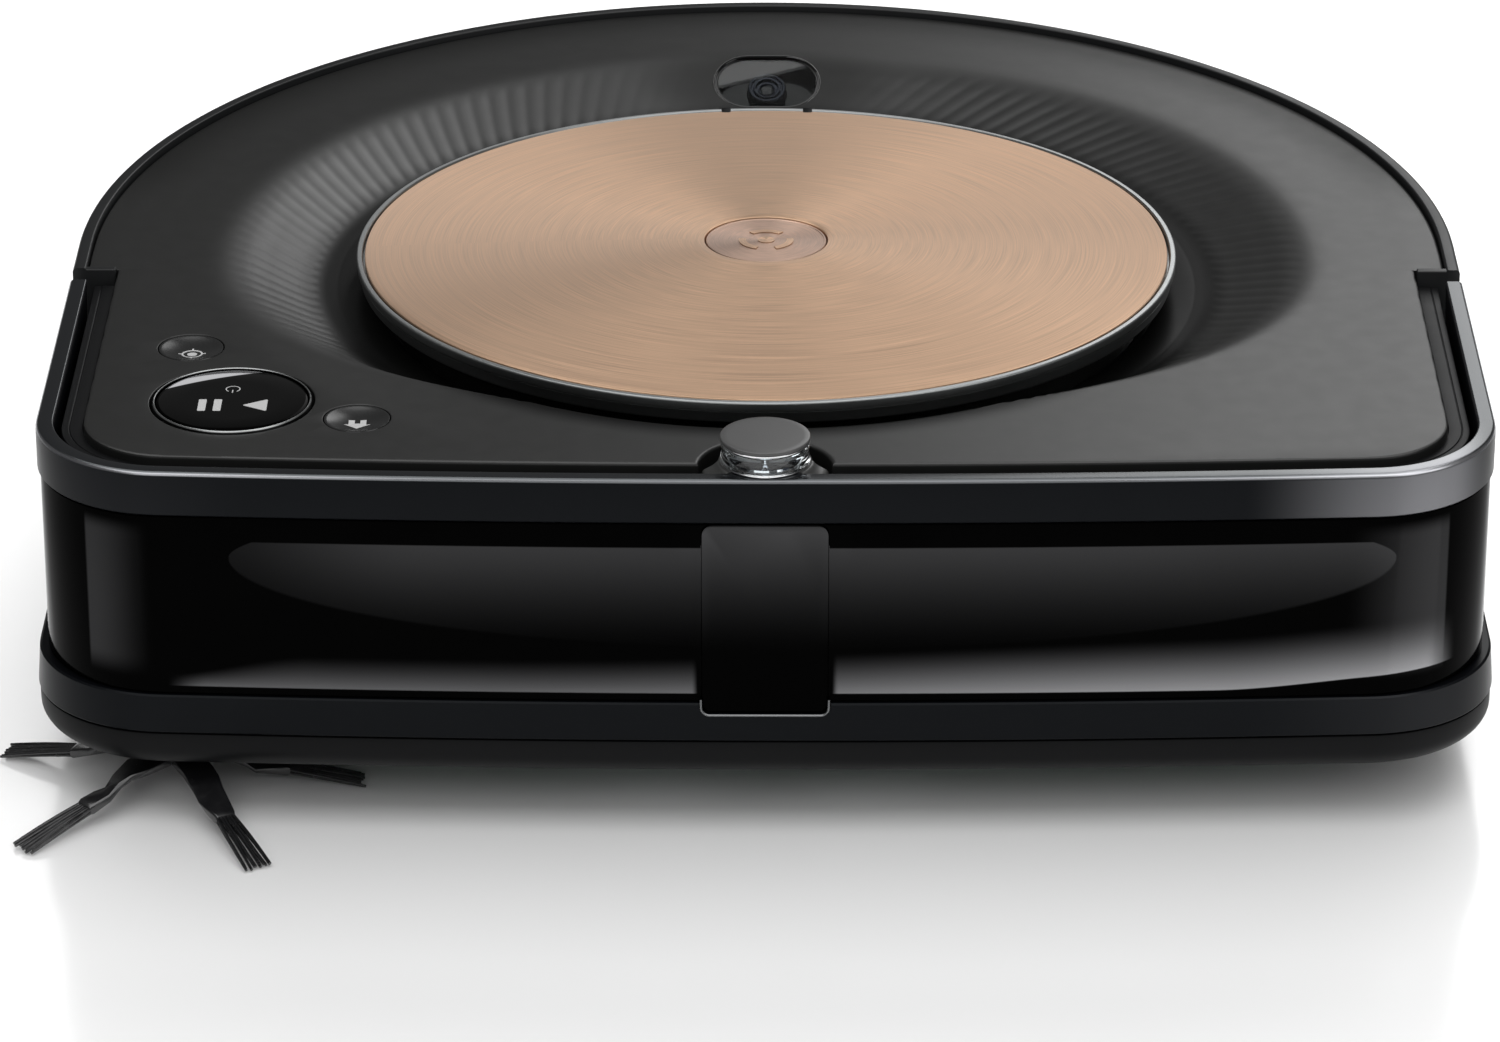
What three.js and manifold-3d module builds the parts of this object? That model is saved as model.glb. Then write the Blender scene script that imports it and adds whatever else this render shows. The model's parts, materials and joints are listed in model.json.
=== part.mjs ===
// Robotic floor cleaner with a flat front and a round back.
// Millimetres, +Z up, the flat front faces -Y, +X is the right-hand side seen from the front.
// The origin is midway between the two drive wheels, on the flat underside of the base.
import * as THREE from 'three';
import { mergeVertices } from 'three/addons/utils/BufferGeometryUtils.js';
import Module from 'manifold-3d';

const wasm = await Module();
wasm.setup();

// ---- driving dimensions -------------------------------------------------------------------
const GAP = 0.3;                 // clearance between neighbouring solids
const FLOOR_Z = -12;             // the floor, below the flat underside
const HALF_WIDTH = 155.5;
const FRONT_Y = -128;            // middle of the bumper's face
const BOW_RADIUS = 2300;         // the front is bowed very slightly
const CORNER_RADIUS = 29;
const REAR_CENTRE_Y = 1.5;       // centre of the round back
const SEAM_Z = 9.8;              // the base ends here and the bumper begins
const WINDOW_BOTTOM_Z = 19;
const WINDOW_TOP_Z = 61;
const WINDOW_INSET = 0.6;        // the window's face stands back a little from the bumper's
const RIM_Z = 71;                // top edge of bumper and rear shell
const DECK_Z = 69.7;             // flat surface of the top deck
const DECK_THICK = 3.2;
const DECK_INSET = 10;           // the deck's front half stands back from the bumper face
const DECK_PUSH = 1.5;           // and its front edge a little further
const BUMPER_WALL = 3.8;
const BUMPER_END_Y = -20.5;      // rear ends of the bumper's arms
const SHELL_START_Y = -14;       // front ends of the rear shell
const SHELL_WALL = 3;
const SHOULDER_END_Y = SHELL_START_Y + 2;   // the shell's ends turn inwards to the deck's edge

const LID_RADIUS = 92.5;
const DISC_RADIUS = 90.6;
const LID_Z = 70.5;              // plane of the disc's edge, at the middle of the lid
const LID_TILT = THREE.MathUtils.degToRad(-1.5);
const BADGE_RADIUS = 13.6;
const HINGE_Y = 89.6;
const HINGE_Z = 64.6;

const WHEEL_X = 118;
const WHEEL_RADIUS = 33;
const WHEEL_WIDTH = 18;
const AXLE_Z = FLOOR_Z + WHEEL_RADIUS;
const ARM_PIVOT_Y = 45;
const ARM_PIVOT_Z = 33;

const ROLLER_RADIUS = 13.8;
const ROLLER_Z = 3.3;
const ROLLER_Y = [-85.2, -57];   // front and rear roller axes
const ROLLER_X = [-88, 112];     // the rollers are offset away from the corner brush
const HEAD = { x: [-95, 120], y: [-101.6, -40.6], z: [-1, 26] };

const BRUSH = { x: -127, y: -106, arms: 5, firstAngle: 9, tipRadius: 39.5 };
const CASTER = { y: 118, radius: 20, wheelY: 122, wheelRadius: 12, wheelWidth: 14 };
const DOCK = { y: -117.7, radius: 10, notch: 14.2 };
const CAMERA = { y: 112, z: 66.8, tilt: THREE.MathUtils.degToRad(27), width: 25, height: 16 };
const BUTTONS = {
  clean: { x: -114.5, y: -84.3, radius: 16.3 },
  spot: { x: -125.6, y: -55.6, radius: 7.1 },
  home: { x: -87.2, y: -93.3, radius: 7.1 },
};
const WELL_RADIUS = 88.3;        // outside of the well that holds the dust bin
const BIN_RADIUS = 85.3;
const BIN_TOP_Z = 54;
const FAN = { x: 86.3, y: 86.3, radius: 27 };
const BATTERY = { distance: 122, angle: THREE.MathUtils.degToRad(128) };

const BIG = 400;                 // larger than the whole object, for half-space cuts
const FINE = 64;                 // segments around a large circle
const ROUND = 28;                // segments around a small circle

// ---- materials ----------------------------------------------------------------------------
function material(color, roughness, metalness = 0) {
  return new THREE.MeshStandardMaterial({ color, roughness, metalness });
}

const LOOK = {
  deck: material(0x2a2a2b, 0.6),
  satin: material(0x17181b, 0.4),
  gloss: material(0x050506, 0.06),
  chassis: material(0x1c1c1e, 0.7),
  copper: material(0xb08e74, 0.35, 1),
  ring: material(0x6c6c6e, 0.4, 0.6),
  chrome: material(0xc8c8c8, 0.15, 1),
  glass: material(0x9fa8ac, 0.05),
  rubber: material(0x101010, 0.9),
  roller: material(0x2f5d46, 0.8),
  bristle: material(0x0b0b0b, 0.8),
  board: material(0x1d4a2a, 0.6),
  filter: material(0xd9d6c8, 0.9),
  bin: material(0x3a3a3d, 0.35),
  steel: material(0xb8b8b8, 0.3, 1),
};

// ---- solids -------------------------------------------------------------------------------
function solid(geometry) {
  const bare = geometry.clone();
  bare.deleteAttribute('normal');
  bare.deleteAttribute('uv');
  const merged = mergeVertices(bare, 1e-4);
  return new wasm.Manifold(new wasm.Mesh({
    numProp: 3,
    vertProperties: new Float32Array(merged.attributes.position.array),
    triVerts: new Uint32Array(merged.index.array),
  }));
}

function geometryOf(body) {
  const mesh = body.getMesh();
  const geometry = new THREE.BufferGeometry();
  geometry.setAttribute('position', new THREE.BufferAttribute(new Float32Array(mesh.vertProperties), 3));
  geometry.setIndex(new THREE.BufferAttribute(new Uint32Array(mesh.triVerts), 1));
  geometry.computeVertexNormals();
  return geometry;
}

function box(x, y, z) {
  const geometry = new THREE.BoxGeometry(x[1] - x[0], y[1] - y[0], z[1] - z[0]);
  geometry.translate((x[0] + x[1]) / 2, (y[0] + y[1]) / 2, (z[0] + z[1]) / 2);
  return solid(geometry);
}

// A shape drawn in XY, standing from z[0] to z[1].
function plate(shape, z) {
  const geometry = new THREE.ExtrudeGeometry(shape, { depth: z[1] - z[0], bevelEnabled: false });
  geometry.translate(0, 0, z[0]);
  return solid(geometry);
}

// An upright cylinder.
function post(x, y, radius, z, segments = ROUND) {
  const geometry = new THREE.CylinderGeometry(radius, radius, z[1] - z[0], segments);
  geometry.rotateX(Math.PI / 2);
  geometry.translate(x, y, (z[0] + z[1]) / 2);
  return solid(geometry);
}

// A cylinder lying along X.
function rod(x, y, z, radius, segments = ROUND) {
  const geometry = new THREE.CylinderGeometry(radius, radius, x[1] - x[0], segments);
  geometry.rotateZ(Math.PI / 2);
  geometry.translate((x[0] + x[1]) / 2, y, z);
  return solid(geometry);
}

// A turned body about the Z axis. The profile is a list of [radius, height] pairs, anticlockwise.
function turned(profile, segments = ROUND) {
  const points = profile.map(([radius, height]) => new THREE.Vector2(radius, height));
  const first = points[0];
  const last = points[points.length - 1];
  if (first.x > 0 || last.x > 0) points.push(first.clone());
  const geometry = new THREE.LatheGeometry(points, segments);
  geometry.rotateX(Math.PI / 2);
  return solid(geometry);
}

function arcPoints(cx, cy, radius, from, to, segments) {
  const points = [];
  for (let i = 0; i <= segments; i += 1) {
    const angle = from + ((to - from) * i) / segments;
    points.push(new THREE.Vector2(cx + radius * Math.cos(angle), cy + radius * Math.sin(angle)));
  }
  return points;
}

// The D-shaped outline of the machine, moved inwards by inset, with its front moved back by push.
function outline(inset, push = 0) {
  const halfWidth = HALF_WIDTH - inset;
  const corner = CORNER_RADIUS - inset;
  const bow = BOW_RADIUS - inset;
  const bowCentreY = FRONT_Y + BOW_RADIUS;
  const cornerX = halfWidth - corner;
  const cornerY = bowCentreY - Math.sqrt((bow - corner) ** 2 - cornerX ** 2);
  const lean = Math.atan2(cornerX, bowCentreY - cornerY);
  const right = -Math.PI / 2 + lean;
  const left = -Math.PI / 2 - lean;
  return new THREE.Shape([
    ...arcPoints(0, REAR_CENTRE_Y, halfWidth, 0, Math.PI, FINE / 2),
    ...arcPoints(-cornerX, cornerY + push, corner, -Math.PI, left, 5),
    ...arcPoints(0, bowCentreY + push, bow, left, right, 4).slice(1, -1),
    ...arcPoints(cornerX, cornerY + push, corner, right, 0, 5),
  ]);
}

function roundedBar(width, height, radius) {
  const x = width / 2 - radius;
  const y = height / 2 - radius;
  const quarter = Math.PI / 2;
  return new THREE.Shape([
    ...arcPoints(x, y, radius, 0, quarter, 4),
    ...arcPoints(-x, y, radius, quarter, 2 * quarter, 4),
    ...arcPoints(-x, -y, radius, 2 * quarter, 3 * quarter, 4),
    ...arcPoints(x, -y, radius, 3 * quarter, 4 * quarter, 4),
  ]);
}

// An X range on the right (side 1) or mirrored to the left (side -1).
function sideRange(side, inner, outer) {
  return side > 0 ? [inner, outer] : [-outer, -inner];
}

function ahead(y, z = [-BIG, BIG]) {
  return box([-BIG, BIG], [-BIG, y], z);
}

function behind(y, z = [-BIG, BIG]) {
  return box([-BIG, BIG], [y, BIG], z);
}

// ---- the model ----------------------------------------------------------------------------
const cleaner = new THREE.Group();

function add(name, body, look, parent = cleaner) {
  const mesh = new THREE.Mesh(geometryOf(body), look.clone());
  mesh.name = name;
  parent.add(mesh);
  return mesh;
}

const CLIFF_SENSORS = {
  cliff_sensor_left: { x: -140, y: -48, size: [8, 18] },
  cliff_sensor_front_left: { x: -62, y: -110, size: [18, 8] },
  cliff_sensor_front_right: { x: 62, y: -110, size: [18, 8] },
  cliff_sensor_right: { x: 140, y: -48, size: [8, 18] },
};
const CHARGE_CONTACTS = {
  charge_contact_left: { x: -22, y: -110, size: [22, 8] },
  charge_contact_right: { x: 22, y: -110, size: [22, 8] },
};
const TRACKER = { x: 0, y: 20, radius: 10 };
const BASE_FLOOR = 3;

function padIn({ x, y, size }, z, grow = 0) {
  const halfX = size[0] / 2 + grow;
  const halfY = size[1] / 2 + grow;
  return box([x - halfX, x + halfX], [y - halfY, y + halfY], z);
}

// The base: a tray with a round lower edge, cut for everything that reaches the floor.
function basePlate() {
  const bevel = { out: 10, up: 6 };
  const raw = new THREE.ExtrudeGeometry(outline(GAP), {
    depth: SEAM_Z,
    bevelEnabled: true,
    bevelThickness: bevel.up,
    bevelSize: bevel.out,
    bevelOffset: -bevel.out,
    bevelSegments: 3,
  });
  raw.translate(0, 0, bevel.up);
  let body = solid(raw).intersect(box([-BIG, BIG], [-BIG, BIG], [-1, SEAM_Z]));
  body = body.subtract(plate(outline(4.5), [BASE_FLOOR, BIG]));
  body = body.subtract(box([HEAD.x[0] - 0.6, HEAD.x[1] + 0.6], [HEAD.y[0] - 0.5, HEAD.y[1] + 0.5], [-9, 9]));
  for (const side of [-1, 1]) {
    body = body.subtract(box(sideRange(side, 99.5, 129), [-37, 54], [-9, 9]));
  }
  body = body.subtract(post(0, CASTER.y, CASTER.radius + 1, [-9, 9]));
  body = body.subtract(post(BRUSH.x, BRUSH.y, 4.6, [-9, 9]));
  body = body.subtract(post(TRACKER.x, TRACKER.y, TRACKER.radius + GAP, [-9, 9]));
  for (const pad of [...Object.values(CLIFF_SENSORS), ...Object.values(CHARGE_CONTACTS)]) {
    body = body.subtract(padIn(pad, [-9, 9], GAP));
  }
  return body;
}

// The wall that carries the front half of the deck, clear of the bumper's travel. Its top is a
// narrow ledge round the outside of the deck.
const FRAME = { inset: 6, push: 2.6, ledgeZ: 67.6, underDeckZ: 66.2 };

function midFrame() {
  const outside = outline(FRAME.inset, FRAME.push);
  const wall = plate(outside, [BASE_FLOOR + GAP, FRAME.underDeckZ]).subtract(plate(outline(11.2), [-9, BIG]));
  let ledge = plate(outside, [FRAME.underDeckZ - 1, FRAME.ledgeZ]);
  ledge = ledge.subtract(plate(outline(DECK_INSET - 0.4), [-9, BIG]));
  ledge = ledge.subtract(post(0, DOCK.y, DOCK.notch, [-9, BIG]));
  return wall.add(ledge).subtract(behind(SHELL_START_Y - 2));
}

function rearShell() {
  const z = [SEAM_Z + GAP, RIM_Z];
  let body = plate(outline(0), z).subtract(plate(outline(SHELL_WALL), [-9, BIG]));
  body = body.subtract(ahead(SHELL_START_Y));
  for (const side of [-1, 1]) {
    const range = sideRange(side, HALF_WIDTH - DECK_INSET + 0.4, HALF_WIDTH - 1);
    body = body.add(box(range, [SHELL_START_Y, SHOULDER_END_Y], [SEAM_Z + GAP, RIM_Z - 0.4]));
  }
  const fanAngle = Math.atan2(FAN.y, FAN.x);
  for (let i = -4; i <= 4; i += 1) {
    const slot = new THREE.BoxGeometry(20, 3, 22);
    slot.translate(HALF_WIDTH - 2, 0, 40);
    slot.rotateZ(fanAngle + i * 0.042);
    slot.translate(0, REAR_CENTRE_Y, 0);
    body = body.subtract(solid(slot));
  }
  return body;
}

// Ring around the lid: a fluted bowl at the back and sides, a straight wall at the front.
const LEDGE_Z = 62.6;
const APERTURE = 96.6;
const BOWL_RADIUS = 127;
const BOWL_START_Y = -52;

function bowlRing() {
  const underside = LEDGE_Z - 2.2;
  const bowl = turned([
    [88.8, underside], [97, underside], [110, 62.6], [BOWL_RADIUS + 1, DECK_Z - DECK_THICK],
    [BOWL_RADIUS + 1, DECK_Z], [BOWL_RADIUS - 1, DECK_Z], [118, 68.5], [104, 64.1], [APERTURE, LEDGE_Z],
    [88.8, LEDGE_Z],
  ], FINE);
  const wall = turned([
    [88.8, underside], [99, underside], [99, DECK_Z], [APERTURE, DECK_Z], [APERTURE, LEDGE_Z],
    [88.8, LEDGE_Z],
  ], FINE);
  return bowl.intersect(behind(BOWL_START_Y)).add(wall.intersect(ahead(BOWL_START_Y)));
}

function cameraFrame() {
  const group = new THREE.Object3D();
  group.position.set(0, CAMERA.y, CAMERA.z);
  group.rotation.x = CAMERA.tilt;
  group.updateMatrixWorld(true);
  return group.matrixWorld;
}

// A rounded bar in the camera's tilted plane, from depth z[0] to z[1] along its own normal.
function cameraBar(grow, z) {
  const shape = roundedBar(CAMERA.width + grow, CAMERA.height + grow, (CAMERA.height + grow) / 2 - 0.1);
  const geometry = new THREE.ExtrudeGeometry(shape, { depth: z[1] - z[0], bevelEnabled: false });
  geometry.translate(0, 0, z[0]);
  geometry.applyMatrix4(cameraFrame());
  return solid(geometry);
}

function topDeck() {
  const z = [DECK_Z - DECK_THICK, DECK_Z];
  let body = plate(outline(DECK_INSET, DECK_PUSH), z);
  body = body.add(plate(outline(SHELL_WALL + GAP), z).intersect(behind(SHOULDER_END_Y + GAP)));
  const bowlHole = post(0, 0, BOWL_RADIUS, [-9, BIG], FINE).intersect(behind(BOWL_START_Y));
  const wallHole = post(0, 0, 98, [-9, BIG], FINE);
  body = body.subtract(bowlHole).subtract(wallHole).add(bowlRing());
  body = body.subtract(post(0, DOCK.y, DOCK.notch, [-9, BIG]));
  body = body.subtract(post(BUTTONS.clean.x, BUTTONS.clean.y, BUTTONS.clean.radius + 1.5, [-9, BIG]));
  for (const button of [BUTTONS.spot, BUTTONS.home]) {
    body = body.subtract(post(button.x, button.y, button.radius + GAP, [-9, BIG], 28));
  }
  body = body.subtract(cameraBar(3.6, [-12, 12]));
  body = body.subtract(box([-26, 26], [84, 97], [-9, BIG]));
  body = body.subtract(box([-11.8, 11.8], [90, 99.9], [-9, BIG]));
  return body;
}

function binWell() {
  const floorZ = BASE_FLOOR + GAP + 0.1;
  const step = { y: -38, z: 33 };
  let body = post(0, 0, WELL_RADIUS, [floorZ, LEDGE_Z - 2.5], FINE);
  body = body.subtract(ahead(step.y, [-9, step.z]));
  let hollow = post(0, 0, WELL_RADIUS - 1.8, [floorZ + 1.8, BIG], FINE);
  hollow = hollow.subtract(ahead(step.y + 1.8, [-9, step.z + 1.8]));
  body = body.subtract(hollow);
  return body.subtract(box([-30, 30], [-45, -30], [12, 24]));
}

function chassisParts() {
  add('base_plate', basePlate(), LOOK.chassis);
  add('mid_frame', midFrame(), LOOK.chassis);
  add('rear_shell', rearShell(), LOOK.satin);
  add('top_deck', topDeck(), LOOK.deck);
  add('bin_well', binWell(), LOOK.chassis);
  const padZ = [0.4, BASE_FLOOR - 0.1];
  for (const [name, pad] of Object.entries(CLIFF_SENSORS)) add(name, padIn(pad, padZ), LOOK.gloss);
  for (const [name, pad] of Object.entries(CHARGE_CONTACTS)) {
    add(name, padIn(pad, [-0.6, BASE_FLOOR - 0.1]), LOOK.steel);
  }
  add('floor_tracking_sensor', post(TRACKER.x, TRACKER.y, TRACKER.radius, padZ, 32), LOOK.gloss);
  add('circuit_board', box([-85, 85], [-114, -103], [45, 46.6]), LOOK.board);
  const battery = new THREE.BoxGeometry(40, 80, 42);
  battery.translate(BATTERY.distance, 0, 25);
  battery.rotateZ(BATTERY.angle);
  add('battery_pack', solid(battery), LOOK.chassis);
}

// ---- bumper with its sensor window --------------------------------------------------------
const PANEL = { halfWidth: 13.4, z: [16.8, 60.6] };
const WINDOW_END_Y = -36;

function bumperParts() {
  const bodyZ = [SEAM_Z + GAP, RIM_Z];
  let frame = plate(outline(0), bodyZ).subtract(plate(outline(BUMPER_WALL), [-9, BIG]));
  frame = frame.subtract(behind(BUMPER_END_Y));
  frame = frame.subtract(ahead(WINDOW_END_Y, [WINDOW_BOTTOM_Z, WINDOW_TOP_Z]));
  const notchX = PANEL.halfWidth + GAP;
  frame = frame.subtract(box([-notchX, notchX], [-BIG, 0], [PANEL.z[0] - GAP, WINDOW_BOTTOM_Z + 1]));
  add('bumper_frame', frame, LOOK.satin);

  const glassZ = [WINDOW_BOTTOM_Z + GAP, WINDOW_TOP_Z - GAP];
  let glass = plate(outline(WINDOW_INSET), glassZ).subtract(plate(outline(3.2), [-9, BIG]));
  glass = glass.subtract(behind(WINDOW_END_Y - GAP));
  const panelX = [-PANEL.halfWidth, PANEL.halfWidth];
  let panel = plate(outline(WINDOW_INSET), PANEL.z).subtract(plate(outline(1.6), [-9, BIG]));
  panel = panel.intersect(box(panelX, [-BIG, 0], [-BIG, BIG]));
  const pocket = plate(outline(-1), [0, PANEL.z[1] + GAP]).subtract(plate(outline(2), [-9, BIG]));
  glass = glass.subtract(pocket.intersect(box([-notchX, notchX], [-BIG, 0], [-BIG, BIG])));
  add('bumper_window', glass, LOOK.gloss);
  add('front_sensor_panel', panel, LOOK.gloss);

  const base = post(0, DOCK.y, DOCK.radius - 0.2, [66.4, RIM_Z]);
  add('dock_sensor_base', base.intersect(behind(FRONT_Y + BUMPER_WALL + GAP)), LOOK.satin);
  const lens = turned([[0, RIM_Z + GAP], [9.9, RIM_Z + GAP], [9.9, 74.4], [0, 74.4]]);
  const cap = turned([[0, 74.8], [DOCK.radius, 74.8], [DOCK.radius, 76.2], [9, 77], [0, 77]]);
  add('dock_sensor_lens', lens.translate([0, DOCK.y, 0]), LOOK.glass);
  add('dock_sensor_cap', cap.translate([0, DOCK.y, 0]), LOOK.satin);
}

// ---- buttons ------------------------------------------------------------------------------
function buttonParts() {
  const { clean, spot, home } = BUTTONS;
  const ring = turned([[16.6, 66], [17.5, 66], [17.5, 70], [17.1, 70.3], [16.6, 70.1]]);
  add('clean_button_ring', ring.translate([clean.x, clean.y, 0]), LOOK.chrome);
  add('clean_button', post(clean.x, clean.y, clean.radius, [64.5, 70]), LOOK.gloss);
  const dished = turned([[0, 64.5], [7.1, 64.5], [7.1, DECK_Z], [5.2, DECK_Z - 0.5], [0, DECK_Z - 0.9]], 28);
  add('spot_button', dished.translate([spot.x, spot.y, 0]), LOOK.deck);
  add('home_button', dished.translate([home.x, home.y, 0]), LOOK.deck);
}

// ---- camera -------------------------------------------------------------------------------
function cameraParts() {
  const well = cameraBar(-2, [-2.5, 8]);
  const barrel = new THREE.CylinderGeometry(4.6, 4.6, 5, 32);
  barrel.rotateX(Math.PI / 2);
  barrel.translate(0, 0, -2.9);
  barrel.applyMatrix4(cameraFrame());
  const bore = new THREE.CylinderGeometry(4.9, 4.9, 12, 32);
  bore.rotateX(Math.PI / 2);
  bore.translate(0, 0, -2);
  bore.applyMatrix4(cameraFrame());
  add('camera_bezel', cameraBar(2.8, [-5, 0.6]).subtract(well).subtract(solid(bore)), LOOK.gloss);
  add('camera_lens', solid(barrel), LOOK.glass);
  add('camera_window', cameraBar(-2.6, [0, 0.9]), LOOK.gloss);
}

// ---- lid over the dust bin ----------------------------------------------------------------
function lidParts() {
  const lid = new THREE.Group();
  lid.position.set(0, 0, LID_Z);
  lid.rotation.x = LID_TILT;
  lid.updateMatrixWorld(true);
  cleaner.add(lid);
  const toLid = (body) => {
    const geometry = geometryOf(body);
    geometry.applyMatrix4(lid.matrixWorld.clone().invert());
    return solid(geometry);
  };
  const floor = -1.5;
  const underside = -3.2;
  const skirt = -5;
  const skirtInner = LID_RADIUS - 2.3;
  let frame = turned([
    [0, underside], [skirtInner, underside], [skirtInner, skirt], [LID_RADIUS, skirt], [LID_RADIUS, -0.6],
    [LID_RADIUS - 0.8, 0.2], [DISC_RADIUS + GAP, 0.2], [DISC_RADIUS + GAP, floor], [0, floor],
  ], FINE);
  frame = frame.subtract(box([-25.8, 25.8], [84, BIG], [-9, underside]));
  const boss = rod([-7.9, 7.9], HINGE_Y, HINGE_Z, 2.9, 16);
  frame = frame.add(toLid(boss).intersect(box([-BIG, BIG], [-BIG, BIG], [-9, floor - 0.1])));
  const disc = turned([
    [BADGE_RADIUS + GAP, floor + GAP], [DISC_RADIUS, floor + GAP], [DISC_RADIUS, 0], [60, 1.15],
    [BADGE_RADIUS + GAP, 2.02],
  ], FINE);
  const badge = turned([
    [0, floor + GAP], [BADGE_RADIUS, floor + GAP], [BADGE_RADIUS, 1.6], [0, 1.75],
  ], 32);
  const notchY = HINGE_Y - 3;
  let notches = box([-11.8, -8.2], [notchY, BIG], [-9, 9]);
  notches = notches.add(box([8.2, 11.8], [notchY, BIG], [-9, 9]));
  const pinHole = toLid(rod([-15, 15], HINGE_Y, HINGE_Z, 1.6, 14));
  add('lid_frame', frame.subtract(notches).subtract(pinHole), LOOK.ring, lid);
  add('lid_disc', disc.subtract(notches), LOOK.copper, lid);
  add('lid_badge', badge, LOOK.copper, lid);
}

function hingeParts() {
  const lugX = [8.6, 11.4];
  const lug = rod(lugX, HINGE_Y, HINGE_Z, 2.5, 16).add(box(lugX, [HINGE_Y, 99.4], [62.2, 65.4]));
  const bar = box([-11.4, 11.4], [97.1, 99.4], [61.2, 64]);
  let bracket = lug.add(lug.mirror([1, 0, 0])).add(bar);
  bracket = bracket.subtract(rod([-15, 15], HINGE_Y, HINGE_Z, 1.6, 14));
  add('lid_hinge_bracket', bracket, LOOK.chassis);
  add('lid_hinge_pin', rod([-11.6, 11.6], HINGE_Y, HINGE_Z, 1.2, 14), LOOK.steel);
}

// ---- dust bin -----------------------------------------------------------------------------
const BIN_BOTTOM_Z = 6.2;
const HANDLE = { halfWidth: 34, reach: 42, pivotY: -2, pivotZ: 51.2, thick: 4.6, bar: 7 };
const FILTER = { x: [18, 62], y: [14, 50], depth: 13 };

function binParts() {
  const step = { y: -36, z: 36 };
  const doorTop = BIN_BOTTOM_Z + 2;
  const wall = 2;
  let bin = post(0, 0, BIN_RADIUS, [doorTop + GAP, BIN_TOP_Z], FINE);
  bin = bin.subtract(ahead(step.y, [-9, step.z]));
  let hollow = post(0, 0, BIN_RADIUS - wall, [-9, BIN_TOP_Z - 16], FINE);
  hollow = hollow.subtract(ahead(step.y + wall, [-9, step.z + wall]));
  bin = bin.subtract(hollow);
  bin = bin.subtract(box([-30, 30], [step.y - 1, step.y + 4], [12, 24]));
  const reach = HANDLE.pivotY - HANDLE.reach;
  const half = HANDLE.halfWidth;
  bin = bin.subtract(box([-half - 0.6, half + 0.6], [reach - 1, HANDLE.pivotY + 4], [47.6, BIG]));
  bin = bin.subtract(box(FILTER.x, FILTER.y, [BIN_TOP_Z - FILTER.depth - 1, BIG]));
  bin = bin.subtract(box([FILTER.x[0] + 5, FILTER.x[1] - 5], [FILTER.y[0] + 5, FILTER.y[1] - 5], [20, BIG]));
  add('dust_bin', bin, LOOK.bin);
  const door = post(0, 0, BIN_RADIUS, [BIN_BOTTOM_Z, doorTop], FINE).subtract(ahead(step.y));
  add('bin_door', door, LOOK.bin);
  const inner = (range) => [range[0] + GAP, range[1] - GAP];
  const filterZ = [BIN_TOP_Z - FILTER.depth - 0.6, BIN_TOP_Z - 0.4];
  add('bin_filter', box(inner(FILTER.x), inner(FILTER.y), filterZ), LOOK.filter);
  const z = [HANDLE.pivotZ - HANDLE.thick / 2, HANDLE.pivotZ + HANDLE.thick / 2];
  let handle = box([-half, half], [reach, HANDLE.pivotY], z);
  handle = handle.subtract(box([-half + 7, half - 7], [reach + HANDLE.bar, BIG], [0, BIG]));
  for (const side of [[-half, -half + 7], [half - 7, half]]) {
    handle = handle.add(rod(side, HANDLE.pivotY, HANDLE.pivotZ, HANDLE.thick / 2, 16));
  }
  add('bin_handle', handle, LOOK.satin);
}

// ---- drive wheels -------------------------------------------------------------------------
function armShape() {
  const reach = Math.hypot(ARM_PIVOT_Y, ARM_PIVOT_Z - AXLE_Z);
  return roundedBar(reach + 18, 18, 8.9);
}

function wheelParts(side, suffix) {
  const wheelX = [WHEEL_X - WHEEL_WIDTH / 2, WHEEL_X + WHEEL_WIDTH / 2];
  let housing = box(sideRange(side, 97.6, 132), [-38.4, 56], [BASE_FLOOR + GAP, 60]);
  housing = housing.subtract(box(sideRange(side, 99.2, 130.4), [-36.8, 54.4], [-9, 58.6]));
  add(`wheel_housing_${suffix}`, housing, LOOK.chassis);

  const slab = new THREE.ExtrudeGeometry(armShape(), { depth: 6, bevelEnabled: false });
  slab.rotateZ(Math.atan2(ARM_PIVOT_Z - AXLE_Z, ARM_PIVOT_Y));
  slab.rotateX(Math.PI / 2);
  slab.rotateZ(Math.PI / 2);
  const start = sideRange(side, 100.2, 106.2)[0];
  slab.translate(start, ARM_PIVOT_Y / 2, (ARM_PIVOT_Z + AXLE_Z) / 2);
  const axleHole = rod([-BIG, BIG], 0, AXLE_Z, 4.4, 16);
  add(`wheel_arm_${suffix}`, solid(slab).subtract(axleHole), LOOK.satin);

  const rim = WHEEL_RADIUS - 7;
  let hub = rod(sideRange(side, wheelX[0] + 0.5, wheelX[1] - 1.5), 0, AXLE_Z, rim - GAP, 30);
  hub = hub.subtract(rod(sideRange(side, wheelX[1] - 4, wheelX[1] + 1), 0, AXLE_Z, rim - 4, 24));
  hub = hub.add(rod(sideRange(side, wheelX[1] - 5, wheelX[1] - 2), 0, AXLE_Z, 8, 16));
  hub = hub.add(rod(sideRange(side, 101, wheelX[0] + 1), 0, AXLE_Z, 4, 16));
  add(`wheel_hub_${suffix}`, hub, LOOK.chassis);
  const tread = rod(sideRange(side, ...wheelX), 0, AXLE_Z, WHEEL_RADIUS, 40);
  add(`tyre_${suffix}`, tread.subtract(rod([-BIG, BIG], 0, AXLE_Z, rim, 30)), LOOK.rubber);
}

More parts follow.
